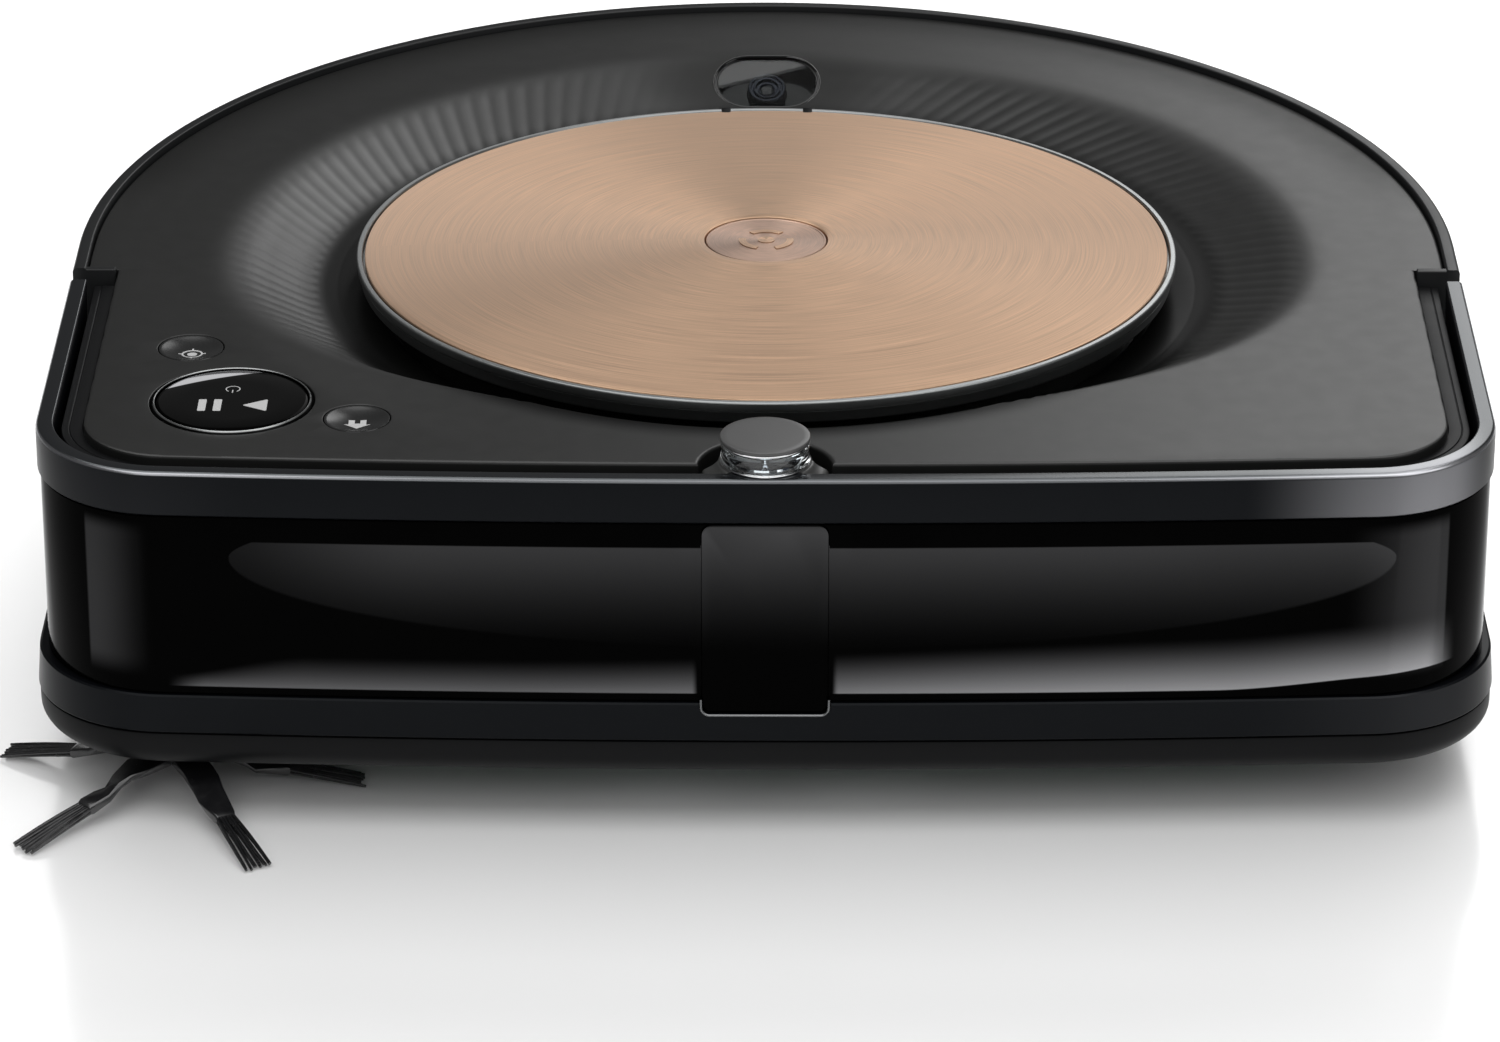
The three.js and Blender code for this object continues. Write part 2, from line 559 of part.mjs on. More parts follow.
// ---- caster -------------------------------------------------------------------------------
function casterParts() {
  const wheelZ = FLOOR_Z + CASTER.wheelRadius;
  let fork = turned([
    [0, -1], [CASTER.radius, -1], [CASTER.radius, 3], [17.5, 5], [17.5, 15], [4, 17], [4, 24], [0, 24],
  ]);
  fork = fork.translate([0, CASTER.y, 0]);
  const room = CASTER.wheelWidth / 2 + 1;
  fork = fork.subtract(box([-room, room], [CASTER.wheelY - 13, CASTER.wheelY + 13], [-9, 13.2]));
  fork = fork.subtract(rod([-13, 13], CASTER.wheelY, wheelZ, 1.8, 16));
  add('caster_fork', fork, LOOK.satin);
  const half = CASTER.wheelWidth / 2;
  let wheel = rod([-half, half], CASTER.wheelY, wheelZ, CASTER.wheelRadius, 32);
  wheel = wheel.subtract(rod([-BIG, BIG], CASTER.wheelY, wheelZ, 1.8, 16));
  add('caster_wheel', wheel, LOOK.rubber);
  add('caster_axle', rod([-12, 12], CASTER.wheelY, wheelZ, 1.5, 16), LOOK.steel);
}

// ---- cleaning head ------------------------------------------------------------------------
function headParts() {
  const [x0, x1] = HEAD.x;
  const [y0, y1] = HEAD.y;
  let frame = box(HEAD.x, HEAD.y, HEAD.z);
  frame = frame.subtract(box([x0 + 4, x1 - 4], [y0 + 1.6, y1 - 1.6], [-9, HEAD.z[1] - 4]));
  frame = frame.subtract(box([-30, 30], [y1 - 3, y1 + 1], [12, 21]));
  for (const y of ROLLER_Y) frame = frame.subtract(rod([-BIG, BIG], y, ROLLER_Z, 3.5, 14));
  add('cleaning_head_frame', frame, LOOK.chassis);
  ['roller_front', 'roller_rear'].forEach((name, i) => {
    const barrel = rod(ROLLER_X, ROLLER_Y[i], ROLLER_Z, ROLLER_RADIUS, 28);
    const axle = rod([ROLLER_X[0] - 5, ROLLER_X[1] + 6], ROLLER_Y[i], ROLLER_Z, 3, 14);
    add(name, barrel.add(axle), LOOK.roller);
  });
  add('roller_gearbox', box([62, 116], [-99, -66], [HEAD.z[1] + GAP, 46]), LOOK.chassis);
}

// ---- corner brush -------------------------------------------------------------------------
const BRUSH_ARM = { root: 7, end: 24, width: 7, z: -4.6, thick: 1.8 };

// A flat strip from radius a to b that falls from height za to zb.
function fallingStrip(a, b, width, za, zb, thick) {
  const side = new THREE.Shape([
    new THREE.Vector2(a, za - thick / 2),
    new THREE.Vector2(b, zb - thick / 2),
    new THREE.Vector2(b, zb + thick / 2),
    new THREE.Vector2(a, za + thick / 2),
  ]);
  const geometry = new THREE.ExtrudeGeometry(side, { depth: width, bevelEnabled: false });
  geometry.translate(0, 0, -width / 2);
  geometry.rotateX(Math.PI / 2);
  return geometry;
}

function brushParts() {
  const { root, end, width, z, thick } = BRUSH_ARM;
  let hub = post(0, 0, 9.5, [-6.4, -1.2], 30).add(post(0, 0, 4, [-2, 9], 24));
  for (let i = 0; i < BRUSH.arms; i += 1) {
    const angle = THREE.MathUtils.degToRad(BRUSH.firstAngle + (360 / BRUSH.arms) * i);
    const arm = fallingStrip(root, end, width, z, -7.6, thick);
    arm.rotateZ(angle);
    hub = hub.add(solid(arm));
    const tuft = fallingStrip(end + GAP, BRUSH.tipRadius, 4.4, -7.7, -10.7, 1.6);
    tuft.rotateZ(angle);
    tuft.translate(BRUSH.x, BRUSH.y, 0);
    add(`brush_tuft_${i + 1}`, solid(tuft), LOOK.bristle);
  }
  add('corner_brush_hub', hub.translate([BRUSH.x, BRUSH.y, 0]), LOOK.rubber);
  add('corner_brush_motor', post(BRUSH.x, BRUSH.y, 7, [9.4, 32], 28), LOOK.chassis);
}

// ---- suction fan --------------------------------------------------------------------------
function fanParts() {
  let housing = post(FAN.x, FAN.y, FAN.radius, [12, 46], ROUND);
  housing = housing.subtract(post(FAN.x, FAN.y, FAN.radius - 2, [14, BIG], ROUND));
  const duct = new THREE.BoxGeometry(12, 24, 18);
  duct.translate(Math.hypot(FAN.x, FAN.y) + FAN.radius, 0, 36);
  duct.rotateZ(Math.PI / 4);
  add('fan_housing', housing.subtract(solid(duct)), LOOK.chassis);
  let impeller = post(0, 0, 22, [16, 18], ROUND).add(post(0, 0, 6, [17, 34], 24));
  const blades = 8;
  for (let i = 0; i < blades; i += 1) {
    const blade = new THREE.BoxGeometry(18, 1.4, 14);
    blade.translate(12.6, 0, 24.6);
    blade.rotateZ((i * 2 * Math.PI) / blades);
    impeller = impeller.add(solid(blade));
  }
  add('fan_impeller', impeller.translate([FAN.x, FAN.y, 0]), LOOK.bin);
}

chassisParts();
bumperParts();
buttonParts();
cameraParts();
lidParts();
hingeParts();
binParts();
wheelParts(-1, 'left');
wheelParts(1, 'right');
casterParts();
headParts();
brushParts();
fanParts();

export default cleaner;
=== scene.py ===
# Looks for a D-shaped robotic floor cleaner. Sizes are millimetres until a mesh is made.
# +Z is up, the flat front faces -Y, and +X is the right-hand side seen from the front.
import json
import math

import bmesh
import bpy
import numpy as np
from mathutils import Matrix, Vector

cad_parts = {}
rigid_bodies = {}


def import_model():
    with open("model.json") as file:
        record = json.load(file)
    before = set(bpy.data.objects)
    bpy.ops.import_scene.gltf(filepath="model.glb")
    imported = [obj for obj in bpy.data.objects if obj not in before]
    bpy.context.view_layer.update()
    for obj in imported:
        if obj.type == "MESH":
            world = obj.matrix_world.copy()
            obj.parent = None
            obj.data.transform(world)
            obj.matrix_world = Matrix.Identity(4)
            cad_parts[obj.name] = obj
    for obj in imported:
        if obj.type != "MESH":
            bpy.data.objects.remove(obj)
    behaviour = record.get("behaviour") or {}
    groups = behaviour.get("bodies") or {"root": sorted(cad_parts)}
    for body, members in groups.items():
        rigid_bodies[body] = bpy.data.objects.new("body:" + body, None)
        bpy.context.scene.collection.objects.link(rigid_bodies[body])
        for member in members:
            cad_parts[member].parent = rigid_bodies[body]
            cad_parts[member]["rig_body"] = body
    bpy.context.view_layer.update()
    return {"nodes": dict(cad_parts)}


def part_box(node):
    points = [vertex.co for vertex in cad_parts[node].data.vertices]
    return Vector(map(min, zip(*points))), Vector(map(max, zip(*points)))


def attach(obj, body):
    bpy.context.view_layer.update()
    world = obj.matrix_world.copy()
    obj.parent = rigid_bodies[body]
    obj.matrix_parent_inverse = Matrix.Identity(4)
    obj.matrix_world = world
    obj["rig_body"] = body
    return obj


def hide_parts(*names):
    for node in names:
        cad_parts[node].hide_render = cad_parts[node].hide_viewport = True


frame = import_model()

MM = 0.001
WELD = 0.002 * MM  # points closer than this become one


# ---- places taken from the frame ----------------------------------------------------------
def span(node):
    low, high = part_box(node)
    return np.array(low) / MM, np.array(high) / MM


def middle(node):
    low, high = span(node)
    return (low + high) / 2


def radius_of(node):
    low, high = span(node)
    return (high[0] - low[0]) / 2


_, FRONT_Y, BUMPER_LOW_Z = span("bumper_frame")[0]
HALF_WIDTH, BUMPER_END_Y, RIM_Z = span("bumper_frame")[1]
SEAM_Z = span("base_plate")[1][2]
DECK_Z = span("top_deck")[1][2]
_, SHELL_START_Y, SHELL_LOW_Z = span("rear_shell")[0]
WINDOW_LOW, WINDOW_HIGH = span("bumper_window")
PANEL_LOW, PANEL_HIGH = span("front_sensor_panel")
FLOOR_Z = span("tyre_left")[0][2]
PIN = middle("lid_hinge_pin")
DISC_RADIUS = span("lid_disc")[1][0]
BADGE_RADIUS = span("lid_badge")[1][0]
LID_RADIUS = span("lid_frame")[1][0]

CLEAN = middle("clean_button")
SPOT = middle("spot_button")
HOME = middle("home_button")
CLEAN_RADIUS = radius_of("clean_button")
RING_OUTER = radius_of("clean_button_ring")
SMALL_RADIUS = radius_of("spot_button")
DOCK = middle("dock_sensor_cap")
DOCK_RADIUS = span("dock_sensor_cap")[1][0]
NOTCH_RADIUS = 14.2
CAMERA_PLACE = (0.0, 112.0, 66.8)
CAMERA_TILT = math.radians(27)
CAMERA_WIDTH = 25
CAMERA_HEIGHT = 16
CAMERA_SHADE = (34, 17)  # half the size of the patch of painted shade round the camera

CORNER_RADIUS = 29
BOW_RADIUS = 2300
REAR_CENTRE_Y = 1.5
BUMPER_WALL = 3.8
DECK_INSET = 10
DECK_PUSH = 1.5
DECK_THICK = 3.2
SHELL_WALL = 3
LID_Z = PIN[2] + 5.9
LID_TILT = math.radians(-1.5)
APERTURE = 96.6
LEDGE_Z = 62.6
LEDGE_FALL = 1.1  # the ledge under the lid slopes down this far
GAP = 0.3
# Cutters that open something near the deck run from one of these heights to the other.
ROOM_LOW = 50
ROOM_HIGH = 90


# ---- mesh helpers -------------------------------------------------------------------------
def smooth_step(value, low, high):
    t = np.clip((value - low) / (high - low), 0, 1)
    return t * t * (3 - 2 * t)


def grid_faces(rows, columns, wrap_rows=False, wrap_columns=False):
    """Quads over a grid of points, closed round either way."""
    faces = []
    last_row = rows if wrap_rows else rows - 1
    last_column = columns if wrap_columns else columns - 1
    for i in range(last_row):
        for j in range(last_column):
            a = i * columns + j
            b = i * columns + (j + 1) % columns
            c = ((i + 1) % rows) * columns + (j + 1) % columns
            d = ((i + 1) % rows) * columns + j
            faces.append((a, b, c, d))
    return faces


def shade(mesh, angle=28):
    mesh.shade_smooth()
    mesh.set_sharp_from_angle(angle=math.radians(angle))


def placed(name, data):
    """A new object in the scene from a mesh, a light or a camera."""
    obj = bpy.data.objects.new(name, data)
    bpy.context.scene.collection.objects.link(obj)
    return obj


def build(name, verts, faces, angle=28):
    """A mesh object from millimetre points, with its faces turned outwards."""
    mesh = bpy.data.meshes.new(name)
    mesh.from_pydata((np.asarray(verts, float) * MM).tolist(), [], faces)
    work = bmesh.new()
    work.from_mesh(mesh)
    bmesh.ops.remove_doubles(work, verts=work.verts, dist=WELD)
    bmesh.ops.recalc_face_normals(work, faces=work.faces)
    work.to_mesh(mesh)
    work.free()
    shade(mesh, angle)
    return placed(name, mesh)


def apply_modifiers(obj, angle):
    """Puts the result of the object's modifiers into its mesh."""
    bpy.context.view_layer.update()
    evaluated = obj.evaluated_get(bpy.context.evaluated_depsgraph_get())
    mesh = bpy.data.meshes.new_from_object(evaluated)
    obj.modifiers.clear()
    obj.data = mesh
    shade(mesh, angle)


def combine(target, others, operation, angle=28):
    """Joins or cuts the target with the other solids, which are used up."""
    for other in others:
        modifier = target.modifiers.new("solid", "BOOLEAN")
        modifier.object = other
        modifier.operation = operation
        modifier.solver = "MANIFOLD"
    apply_modifiers(target, angle)
    for other in others:
        bpy.data.objects.remove(other)
    return target


def cut(target, *others, angle=28):
    return combine(target, others, "DIFFERENCE", angle)


def join(target, *others, angle=28):
    return combine(target, others, "UNION", angle)


def arc(centre, radius, start, end, steps):
    """Points on an arc, with angles in degrees."""
    angles = np.radians(np.linspace(start, end, steps + 1))
    return [(centre[0] + radius * math.cos(a), centre[1] + radius * math.sin(a)) for a in angles]


def rounded(corners, radii, steps=4):
    """A closed outline whose corners are rounded by the given radii."""
    count = len(corners)
    if np.isscalar(radii):
        radii = [radii] * count
    points = []
    for i, corner in enumerate(corners):
        here = np.array(corner, float)
        before = np.array(corners[i - 1], float) - here
        after = np.array(corners[(i + 1) % count], float) - here
        radius = radii[i]
        if radius <= 0:
            points.append(tuple(here))
            continue
        before_length = np.linalg.norm(before)
        after_length = np.linalg.norm(after)
        before /= before_length
        after /= after_length
        half = math.acos(np.clip(before @ after, -1, 1)) / 2
        reach = min(radius / math.tan(half), before_length * 0.49, after_length * 0.49)
        radius = reach * math.tan(half)
        centre = here + (before + after) / np.linalg.norm(before + after) * radius / math.sin(half)
        first = here + before * reach - centre
        last = here + after * reach - centre
        start = math.atan2(first[1], first[0])
        turn = (math.atan2(last[1], last[0]) - start + math.pi) % (2 * math.pi) - math.pi
        for k in range(steps + 1):
            angle = start + turn * k / steps
            points.append((centre[0] + radius * math.cos(angle), centre[1] + radius * math.sin(angle)))
    return points


def prism(name, outline, low, high, angle=28):
    """An upright solid over a flat outline."""
    count = len(outline)
    verts = [(x, y, low) for x, y in outline] + [(x, y, high) for x, y in outline]
    faces = [tuple(range(count))[::-1], tuple(range(count, 2 * count))]
    for i in range(count):
        j = (i + 1) % count
        faces.append((i, j, count + j, count + i))
    return build(name, verts, faces, angle)


def block(name, low, high, radius=0.0):
    """A box with rounded upright edges."""
    return prism(name, rounded(oblong(low[0], low[1], high[0], high[1]), radius, 3), low[2], high[2])


def soft_block(name, low, high, radius, bevel, steps=3):
    """A box with rounded upright edges and rounded top and bottom edges."""
    turns = [math.pi / 2 * k / steps for k in range(steps + 1)]
    rings = [(bevel * (1 - math.sin(a)), low[2] + bevel * (1 - math.cos(a))) for a in turns]
    rings += [(bevel * (1 - math.sin(a)), high[2] - bevel * (1 - math.cos(a))) for a in reversed(turns)]
    outlines = []
    for inset, z in rings:
        corners = oblong(low[0] + inset, low[1] + inset, high[0] - inset, high[1] - inset)
        shape = rounded(corners, max(radius - inset, 0.05), 4)
        outlines.append([(x, y, z) for x, y in shape])
    return loft(name, outlines)


def loft(name, outlines, angle=28):
    """A solid through a stack of closed outlines with the same number of points."""
    rows = len(outlines)
    columns = len(outlines[0])
    verts = [point for outline in outlines for point in outline]
    faces = grid_faces(rows, columns, wrap_columns=True)
    faces.append(tuple(range(columns))[::-1])
    faces.append(tuple(range((rows - 1) * columns, rows * columns)))
    return build(name, verts, faces, angle)


def oblong(x0, y0, x1, y1):
    """The four corners of a rectangle, from its lowest to its highest corner."""
    return [(x0, y0), (x1, y0), (x1, y1), (x0, y1)]


def plate(name, outline, front, back, angle=28):
    """A solid over an outline of (x, z) points, from one Y to another."""
    return loft(name, [[(x, y, z) for x, z in outline] for y in (front, back)], angle)


def turned(name, radius, height, steps, centre, closed, angle):
    """A skin of points turned about an upright axis. The radius may differ at each turn."""
    turns = np.arange(steps) * 2 * math.pi / steps
    x = centre[0] + radius * np.cos(turns)[:, None]
    y = centre[1] + radius * np.sin(turns)[:, None]
    z = np.broadcast_to(height[None, :], x.shape)
    verts = np.stack([x, y, z], axis=-1).reshape(-1, 3)
    faces = grid_faces(steps, len(height), wrap_rows=True, wrap_columns=closed)
    return build(name, verts, faces, angle)


def lathe(name, profile, steps=96, centre=(0, 0), angle=28):
    """A turned solid. The profile of (radius, z) closes on itself or starts and ends on the axis."""
    profile = np.array(profile, float)
    closed = profile[0][0] > 1e-6 or profile[-1][0] > 1e-6
    return turned(name, profile[None, :, 0], profile[:, 1], steps, centre, closed, angle)


def rod(name, radius, low, high, steps=48, centre=(0, 0)):
    """An upright cylinder, used as a cutter or joined to another solid."""
    return lathe(name, [(0, low), (radius, low), (radius, high), (0, high)], steps, centre)


def tube(name, path, radius, sides=10, angle=40):
    """A round bar along a path, with flat ends. The radius may vary along it."""
    path = np.array(path, float)
    count = len(path)
    radii = np.full(count, radius) if np.isscalar(radius) else np.array(radius, float)
    along = np.gradient(path, axis=0)
    along /= np.linalg.norm(along, axis=1)[:, None]
    side = np.cross(along[0], (0.31, 0.17, 0.93))
    side /= np.linalg.norm(side)
    outlines = []
    for i in range(count):
        side = side - along[i] * (side @ along[i])
        side /= np.linalg.norm(side)
        up = np.cross(along[i], side)
        ring = []
        for k in range(sides):
            a = 2 * math.pi * k / sides
            ring.append(tuple(path[i] + radii[i] * (math.cos(a) * side + math.sin(a) * up)))
        outlines.append(ring)
    return loft(name, outlines, angle)


def lay_along_x(obj, start, y, z):
    """Moves a solid turned about Z so that its axis lies along X from start."""
    turn = Matrix.Rotation(math.pi / 2, 4, "Y")
    place = Matrix.Translation(Vector((start, y, z)) * MM)
    obj.data.transform(place @ turn)
    return obj


# ---- the D-shaped outline -----------------------------------------------------------------
def corner_places():
    """The centre of the right front corner, of the bowed front, and the angle between them."""
    x = HALF_WIDTH - CORNER_RADIUS
    bow_centre_y = FRONT_Y + BOW_RADIUS
    y = bow_centre_y - math.sqrt((BOW_RADIUS - CORNER_RADIUS) ** 2 - x ** 2)
    lean = math.degrees(math.atan2(x, bow_centre_y - y))
    return x, y, bow_centre_y, lean


def arc_track(centre, radius, start, end, steps):
    angles = np.radians(np.linspace(start, end, steps + 1))
    normals = np.stack([np.cos(angles), np.sin(angles)], axis=-1)
    return np.array(centre) + radius * normals, normals


def line_track(start, end, normal, steps):
    t = np.linspace(0, 1, steps + 1)[:, None]
    points = np.array(start) * (1 - t) + np.array(end) * t
    return points, np.broadcast_to(np.array(normal, float), points.shape)


def chain(parts):
    """One track from several that meet end to end."""
    points = [parts[0][0]]
    normals = [parts[0][1]]
    for more, their_normals in parts[1:]:
        points.append(more[1:])
        normals.append(their_normals[1:])
    return np.concatenate(points), np.concatenate(normals)


def front_track(end_y, push=0.0, arm_steps=10, corner_steps=22, bow_steps=40):
    """Points and outward normals round the front, from the end of the right arm to the left one."""
    x, y, bow_centre_y, lean = corner_places()
    y += push
    bow_centre_y += push
    return chain([
        line_track((HALF_WIDTH, end_y), (HALF_WIDTH, y), (1, 0), arm_steps),
        arc_track((x, y), CORNER_RADIUS, 0, -90 + lean, corner_steps),
        arc_track((0, bow_centre_y), BOW_RADIUS, -90 + lean, -90 - lean, bow_steps),
        arc_track((-x, y), CORNER_RADIUS, -90 - lean, -180, corner_steps),
        line_track((-HALF_WIDTH, y), (-HALF_WIDTH, end_y), (-1, 0), arm_steps),
    ])


def rear_track(start_y, steps=150):
    """Points and normals round the back, from the left arm to the right one."""
    return chain([
        line_track((-HALF_WIDTH, start_y), (-HALF_WIDTH, REAR_CENTRE_Y), (-1, 0), 3),
        arc_track((0, REAR_CENTRE_Y), HALF_WIDTH, 180, 0, steps),
        line_track((HALF_WIDTH, REAR_CENTRE_Y), (HALF_WIDTH, start_y), (1, 0), 3),
    ])


def whole_track():
    points, normals = chain([front_track(REAR_CENTRE_Y), rear_track(REAR_CENTRE_Y)])
    keep = np.ones(len(points), bool)
    keep[1:] = np.linalg.norm(np.diff(points, axis=0), axis=1) > 1e-6
    keep[-1] = False
    return points[keep], normals[keep]


def sweep(name, track, section, closed=False, capped_tray=False, angle=28):
    """A section of (inset, z) points carried along a track of the outline."""
    points, normals = track
    section = np.array(section, float)
    flat = points[:, None, :] - normals[:, None, :] * section[None, :, 0:1]
    z = np.broadcast_to(section[None, :, 1:2], flat.shape[:2] + (1,))
    verts = np.concatenate([flat, z], axis=-1).reshape(-1, 3)
    rows, columns = len(points), len(section)
    faces = grid_faces(rows, columns, wrap_rows=closed, wrap_columns=not capped_tray)
    if capped_tray:
        faces.append(tuple(i * columns for i in range(rows)))
        faces.append(tuple(i * columns + columns - 1 for i in range(rows)))
    elif not closed:
        faces.append(tuple(range(columns)))
        faces.append(tuple(range((rows - 1) * columns, rows * columns)))
    return build(name, verts, faces, angle)


# ---- materials ----------------------------------------------------------------------------
class Value:
    """A value inside a node material. Arithmetic on it adds the nodes that work it out."""

    __array_ufunc__ = None

    def __init__(self, graph, socket):
        self.graph = graph
        self.socket = socket

    def math(self, operation, other=0.0, clamp=False):
        return self.graph.math(operation, self, other, clamp)

    def __add__(self, other):
        return self.math("ADD", other)

    def __sub__(self, other):
        return self.math("SUBTRACT", other)

    def __rsub__(self, other):
        return self.graph.math("SUBTRACT", other, self)

    def __mul__(self, other):
        return self.math("MULTIPLY", other)

    def __truediv__(self, other):
        return self.math("DIVIDE", other)

    def __abs__(self):
        return self.math("ABSOLUTE")

    def root(self):
        return self.math("SQRT")

    def clamped(self):
        return self.math("ADD", clamp=True)

    def cosine(self):
        return self.math("COSINE")

    def ramp(self, low, high, to_low=0.0, to_high=1.0, smooth=True):
        kind = "SMOOTHSTEP" if smooth else "LINEAR"
        inputs = {0: self, 1: low, 2: high, 3: to_low, 4: to_high}
        return self.graph.node("MapRange", inputs, interpolation_type=kind)


class Graph:
    """A node material. Each call makes one node and gives back one of its outputs."""

    def __init__(self, name):
        self.material = bpy.data.materials.new(name)
        self.material.use_nodes = True
        self.tree = self.material.node_tree
        self.surface = self.tree.nodes["Principled BSDF"]
        self.output = self.tree.nodes["Material Output"]

    def node(self, kind, inputs=None, output=0, **settings):
        made = self.tree.nodes.new("ShaderNode" + kind)
        for key, value in settings.items():
            setattr(made, key, value)
        for key, value in (inputs or {}).items():
            self.set(made, key, value)
        return Value(self, made.outputs[output])

    def set(self, node, key, value):
        if isinstance(value, Value):
            self.tree.links.new(value.socket, node.inputs[key])
        else:
            node.inputs[key].default_value = value

    def principled(self, **values):
        for key, value in values.items():
            self.set(self.surface, key.replace("_", " "), value)
        return self.material

    def place(self):
        return self.node("TexCoord", output="Object")

    def axis(self, name):
        """A place along one axis, in millimetres."""
        return self.node("SeparateXYZ", {0: self.place()}, name) * (1 / MM)

    def math(self, operation, a, b=0.0, clamp=False):
        return self.node("Math", {0: a, 1: b}, operation=operation, use_clamp=clamp)

    def noise(self, size, detail=2.0):
        """Noise from 0 to 1 whose features are about size millimetres."""
        inputs = {"Vector": self.place(), "Scale": 1 / (size * MM), "Detail": detail}
        return self.node("TexNoise", inputs, "Fac")

    def bump(self, height, distance, strength=1.0):
        return self.node("Bump", {"Height": height, "Distance": distance * MM, "Strength": strength})

    def blend(self, factor, a, b):
        return self.node("Mix", {0: factor, 6: a, 7: b}, 2, data_type="RGBA")

    def scaled(self, vector, factor):
        return self.node("VectorMath", {0: vector, 3: factor}, operation="SCALE")

    def away(self, x=0.0, y=0.0):
        """The distance from an upright line through a millimetre point."""
        across = self.axis("X") - x
        along = self.axis("Y") - y
        return (across * across + along * along).root()

    def add_shine(self, body, strength, roughness, blue=1.0, **more):
        """Adds a mirror layer of the given strength, a little bluer or not, over the body. The strength is a
        mask that paints reflections, highlights and sheen in place.
        """
        tint = self.node("CombineColor", {0: strength, 1: strength, 2: strength * blue})
        shine = self.node("BsdfGlossy", {"Roughness": roughness, "Color": tint, **more})
        total = self.node("AddShader", {0: body, 1: shine})
        self.set(self.output, 0, total)
        return self.material

    def body(self):
        return Value(self, self.surface.outputs[0])


def grey(level, tint=(1, 1, 1)):
    return (level * tint[0], level * tint[1], level * tint[2], 1)


def moulded(name, color, roughness, grain=0.35, depth=0.012, specular=0.5, mottle=0.06):
    """Moulded plastic: fine spark texture, slightly uneven sheen and tone."""
    graph = Graph(name)
    return graph.principled(
        Base_Color=graph.blend(graph.noise(14, 3), grey(1 - mottle, color), grey(1 + mottle, color)),
        Roughness=graph.noise(5, 3).ramp(0.25, 0.75, roughness - 0.012, roughness + 0.015),
        Normal=graph.bump(graph.noise(grain, 2), depth),
        Specular_IOR_Level=specular,
    )


def bowl_plastic(name, color, roughness, specular):
    """The deck's plastic, with painted shade and a painted highlight: its tone and sheen are darkened next to
    the lid, its sheen under the rear shell's raised rim and round the camera, and its sheen is raised on the
    bowl's left slope.
    """
    graph = Graph(name)
    x, y, radius = graph.axis("X"), graph.axis("Y"), graph.away()
    # Painted shade next to the lid, darkening both the tone and the sheen.
    lid_painted_shade = radius.ramp(99.0, 106.0, 0.22, 1.0)
    # Painted shade under the rear shell's raised rim, on the sheen.
    rim_painted_shade = 1.0 - y.ramp(20.0, 55.0) * radius.ramp(136.0, 151.0, 0.0, 0.6)
    # Painted shade round the camera, on the sheen.
    camera_x = x / CAMERA_SHADE[0]
    camera_y = (y - CAMERA_PLACE[1]) / CAMERA_SHADE[1]
    camera_painted_shade = (camera_x * camera_x + camera_y * camera_y).ramp(0.15, 1.1, 0.45, 1.0)
    # Painted highlight: more sheen on the bowl's left slope.
    left_bowl_painted_highlight = x.ramp(-50.0, -100.0) * radius.ramp(127.0, 119.0) * 0.5 + 1.0
    tone = graph.blend(graph.noise(14, 3), grey(0.94, color), grey(1.06, color))
    return graph.principled(
        Base_Color=graph.scaled(tone, lid_painted_shade),
        Roughness=graph.noise(5, 3).ramp(0.25, 0.75, roughness - 0.012, roughness + 0.015),
        Normal=graph.bump(graph.noise(0.35, 2), 0.006),
        Specular_IOR_Level=lid_painted_shade * rim_painted_shade * camera_painted_shade * left_bowl_painted_highlight * specular,
    )


def satin_band(name, color):
    """Satin plastic of the bumper: a polished edge along its rim with a painted highlight line, and a painted
    sheen on its two corners.
    """
    graph = Graph(name)
    x, y, z = graph.axis("X"), graph.axis("Y"), graph.axis("Z")
    edge = z.ramp(RIM_Z - 1.0, RIM_Z - 0.7)
    grain = graph.bump(graph.noise(0.6, 2), 0.003)
    graph.principled(
        Base_Color=graph.blend(graph.noise(14, 3), grey(0.85, color), grey(1.15, color)),
        Roughness=edge.ramp(0.0, 1.0, 0.32, 0.22),
        Normal=grain,
        Specular_IOR_Level=edge.ramp(0.0, 1.0, 0.10, 1.0),
        Specular_Tint=(0.90, 0.96, 1.0, 1),
    )
    # Painted sheen on the two front corners, stronger on the right, fading towards the window's lower edge.
    right = x.ramp(100.0, 142.0) * x.ramp(154.0, 144.0) * 0.18
    left = x.ramp(-105.0, -141.0) * x.ramp(-156.0, -143.0) * 0.006
    upper = z.ramp(WINDOW_LOW[2], WINDOW_HIGH[2], 0.05, 1.0)
    # Painted highlight: a thin bright line along the rim's top edge, stronger towards the corners.
    bead = z.ramp(RIM_Z - 0.8, RIM_Z - 0.55) * z.ramp(RIM_Z - 0.12, RIM_Z - 0.35)
    sheen = (left + right) * upper * y.ramp(-60.0, -105.0) + bead * abs(x).ramp(60.0, 135.0, 0.09, 0.32)
    return graph.add_shine(graph.body(), sheen, 0.3, 1.05, Normal=grain)


def metal(name, color, roughness):
    graph = Graph(name)
    fine = graph.noise(0.2, 3)
    return graph.principled(
        Base_Color=graph.blend(fine, grey(0.86, color), grey(1.0, color)),
        Metallic=1.0,
        Roughness=fine.ramp(0.3, 0.7, roughness * 0.8, roughness * 1.2),
        Normal=graph.bump(fine, 0.004),
    )


def rubber(name, color, roughness=0.75, depth=0.03, specular=0.35):
    graph = Graph(name)
    return graph.principled(
        Base_Color=graph.blend(graph.noise(6, 3), grey(0.8, color), grey(1.15, color)),
        Roughness=graph.noise(2, 3).ramp(0.2, 0.8, roughness - 0.08, roughness + 0.08),
        Normal=graph.bump(graph.noise(0.5, 3), depth),
        Specular_IOR_Level=specular,
    )


# Each wedge of painted light on the lid, lighter for a positive change and darker for a negative one: its
# direction, half its width in degrees, and its change of tone.
PAINTED_WEDGES = (
    (48, 40, 0.24), (143, 45, 0.15), (90, 40, -0.20), (186, 40, -0.14), (-48, 42, 0.06), (-112, 40, -0.09),
)
# Each set of circular scratches: its pitch in millimetres, its arcs per radian, and its share.
SCRATCHES = ((0.26, 2.2, 0.7), (0.7, 2.4, 0.3))


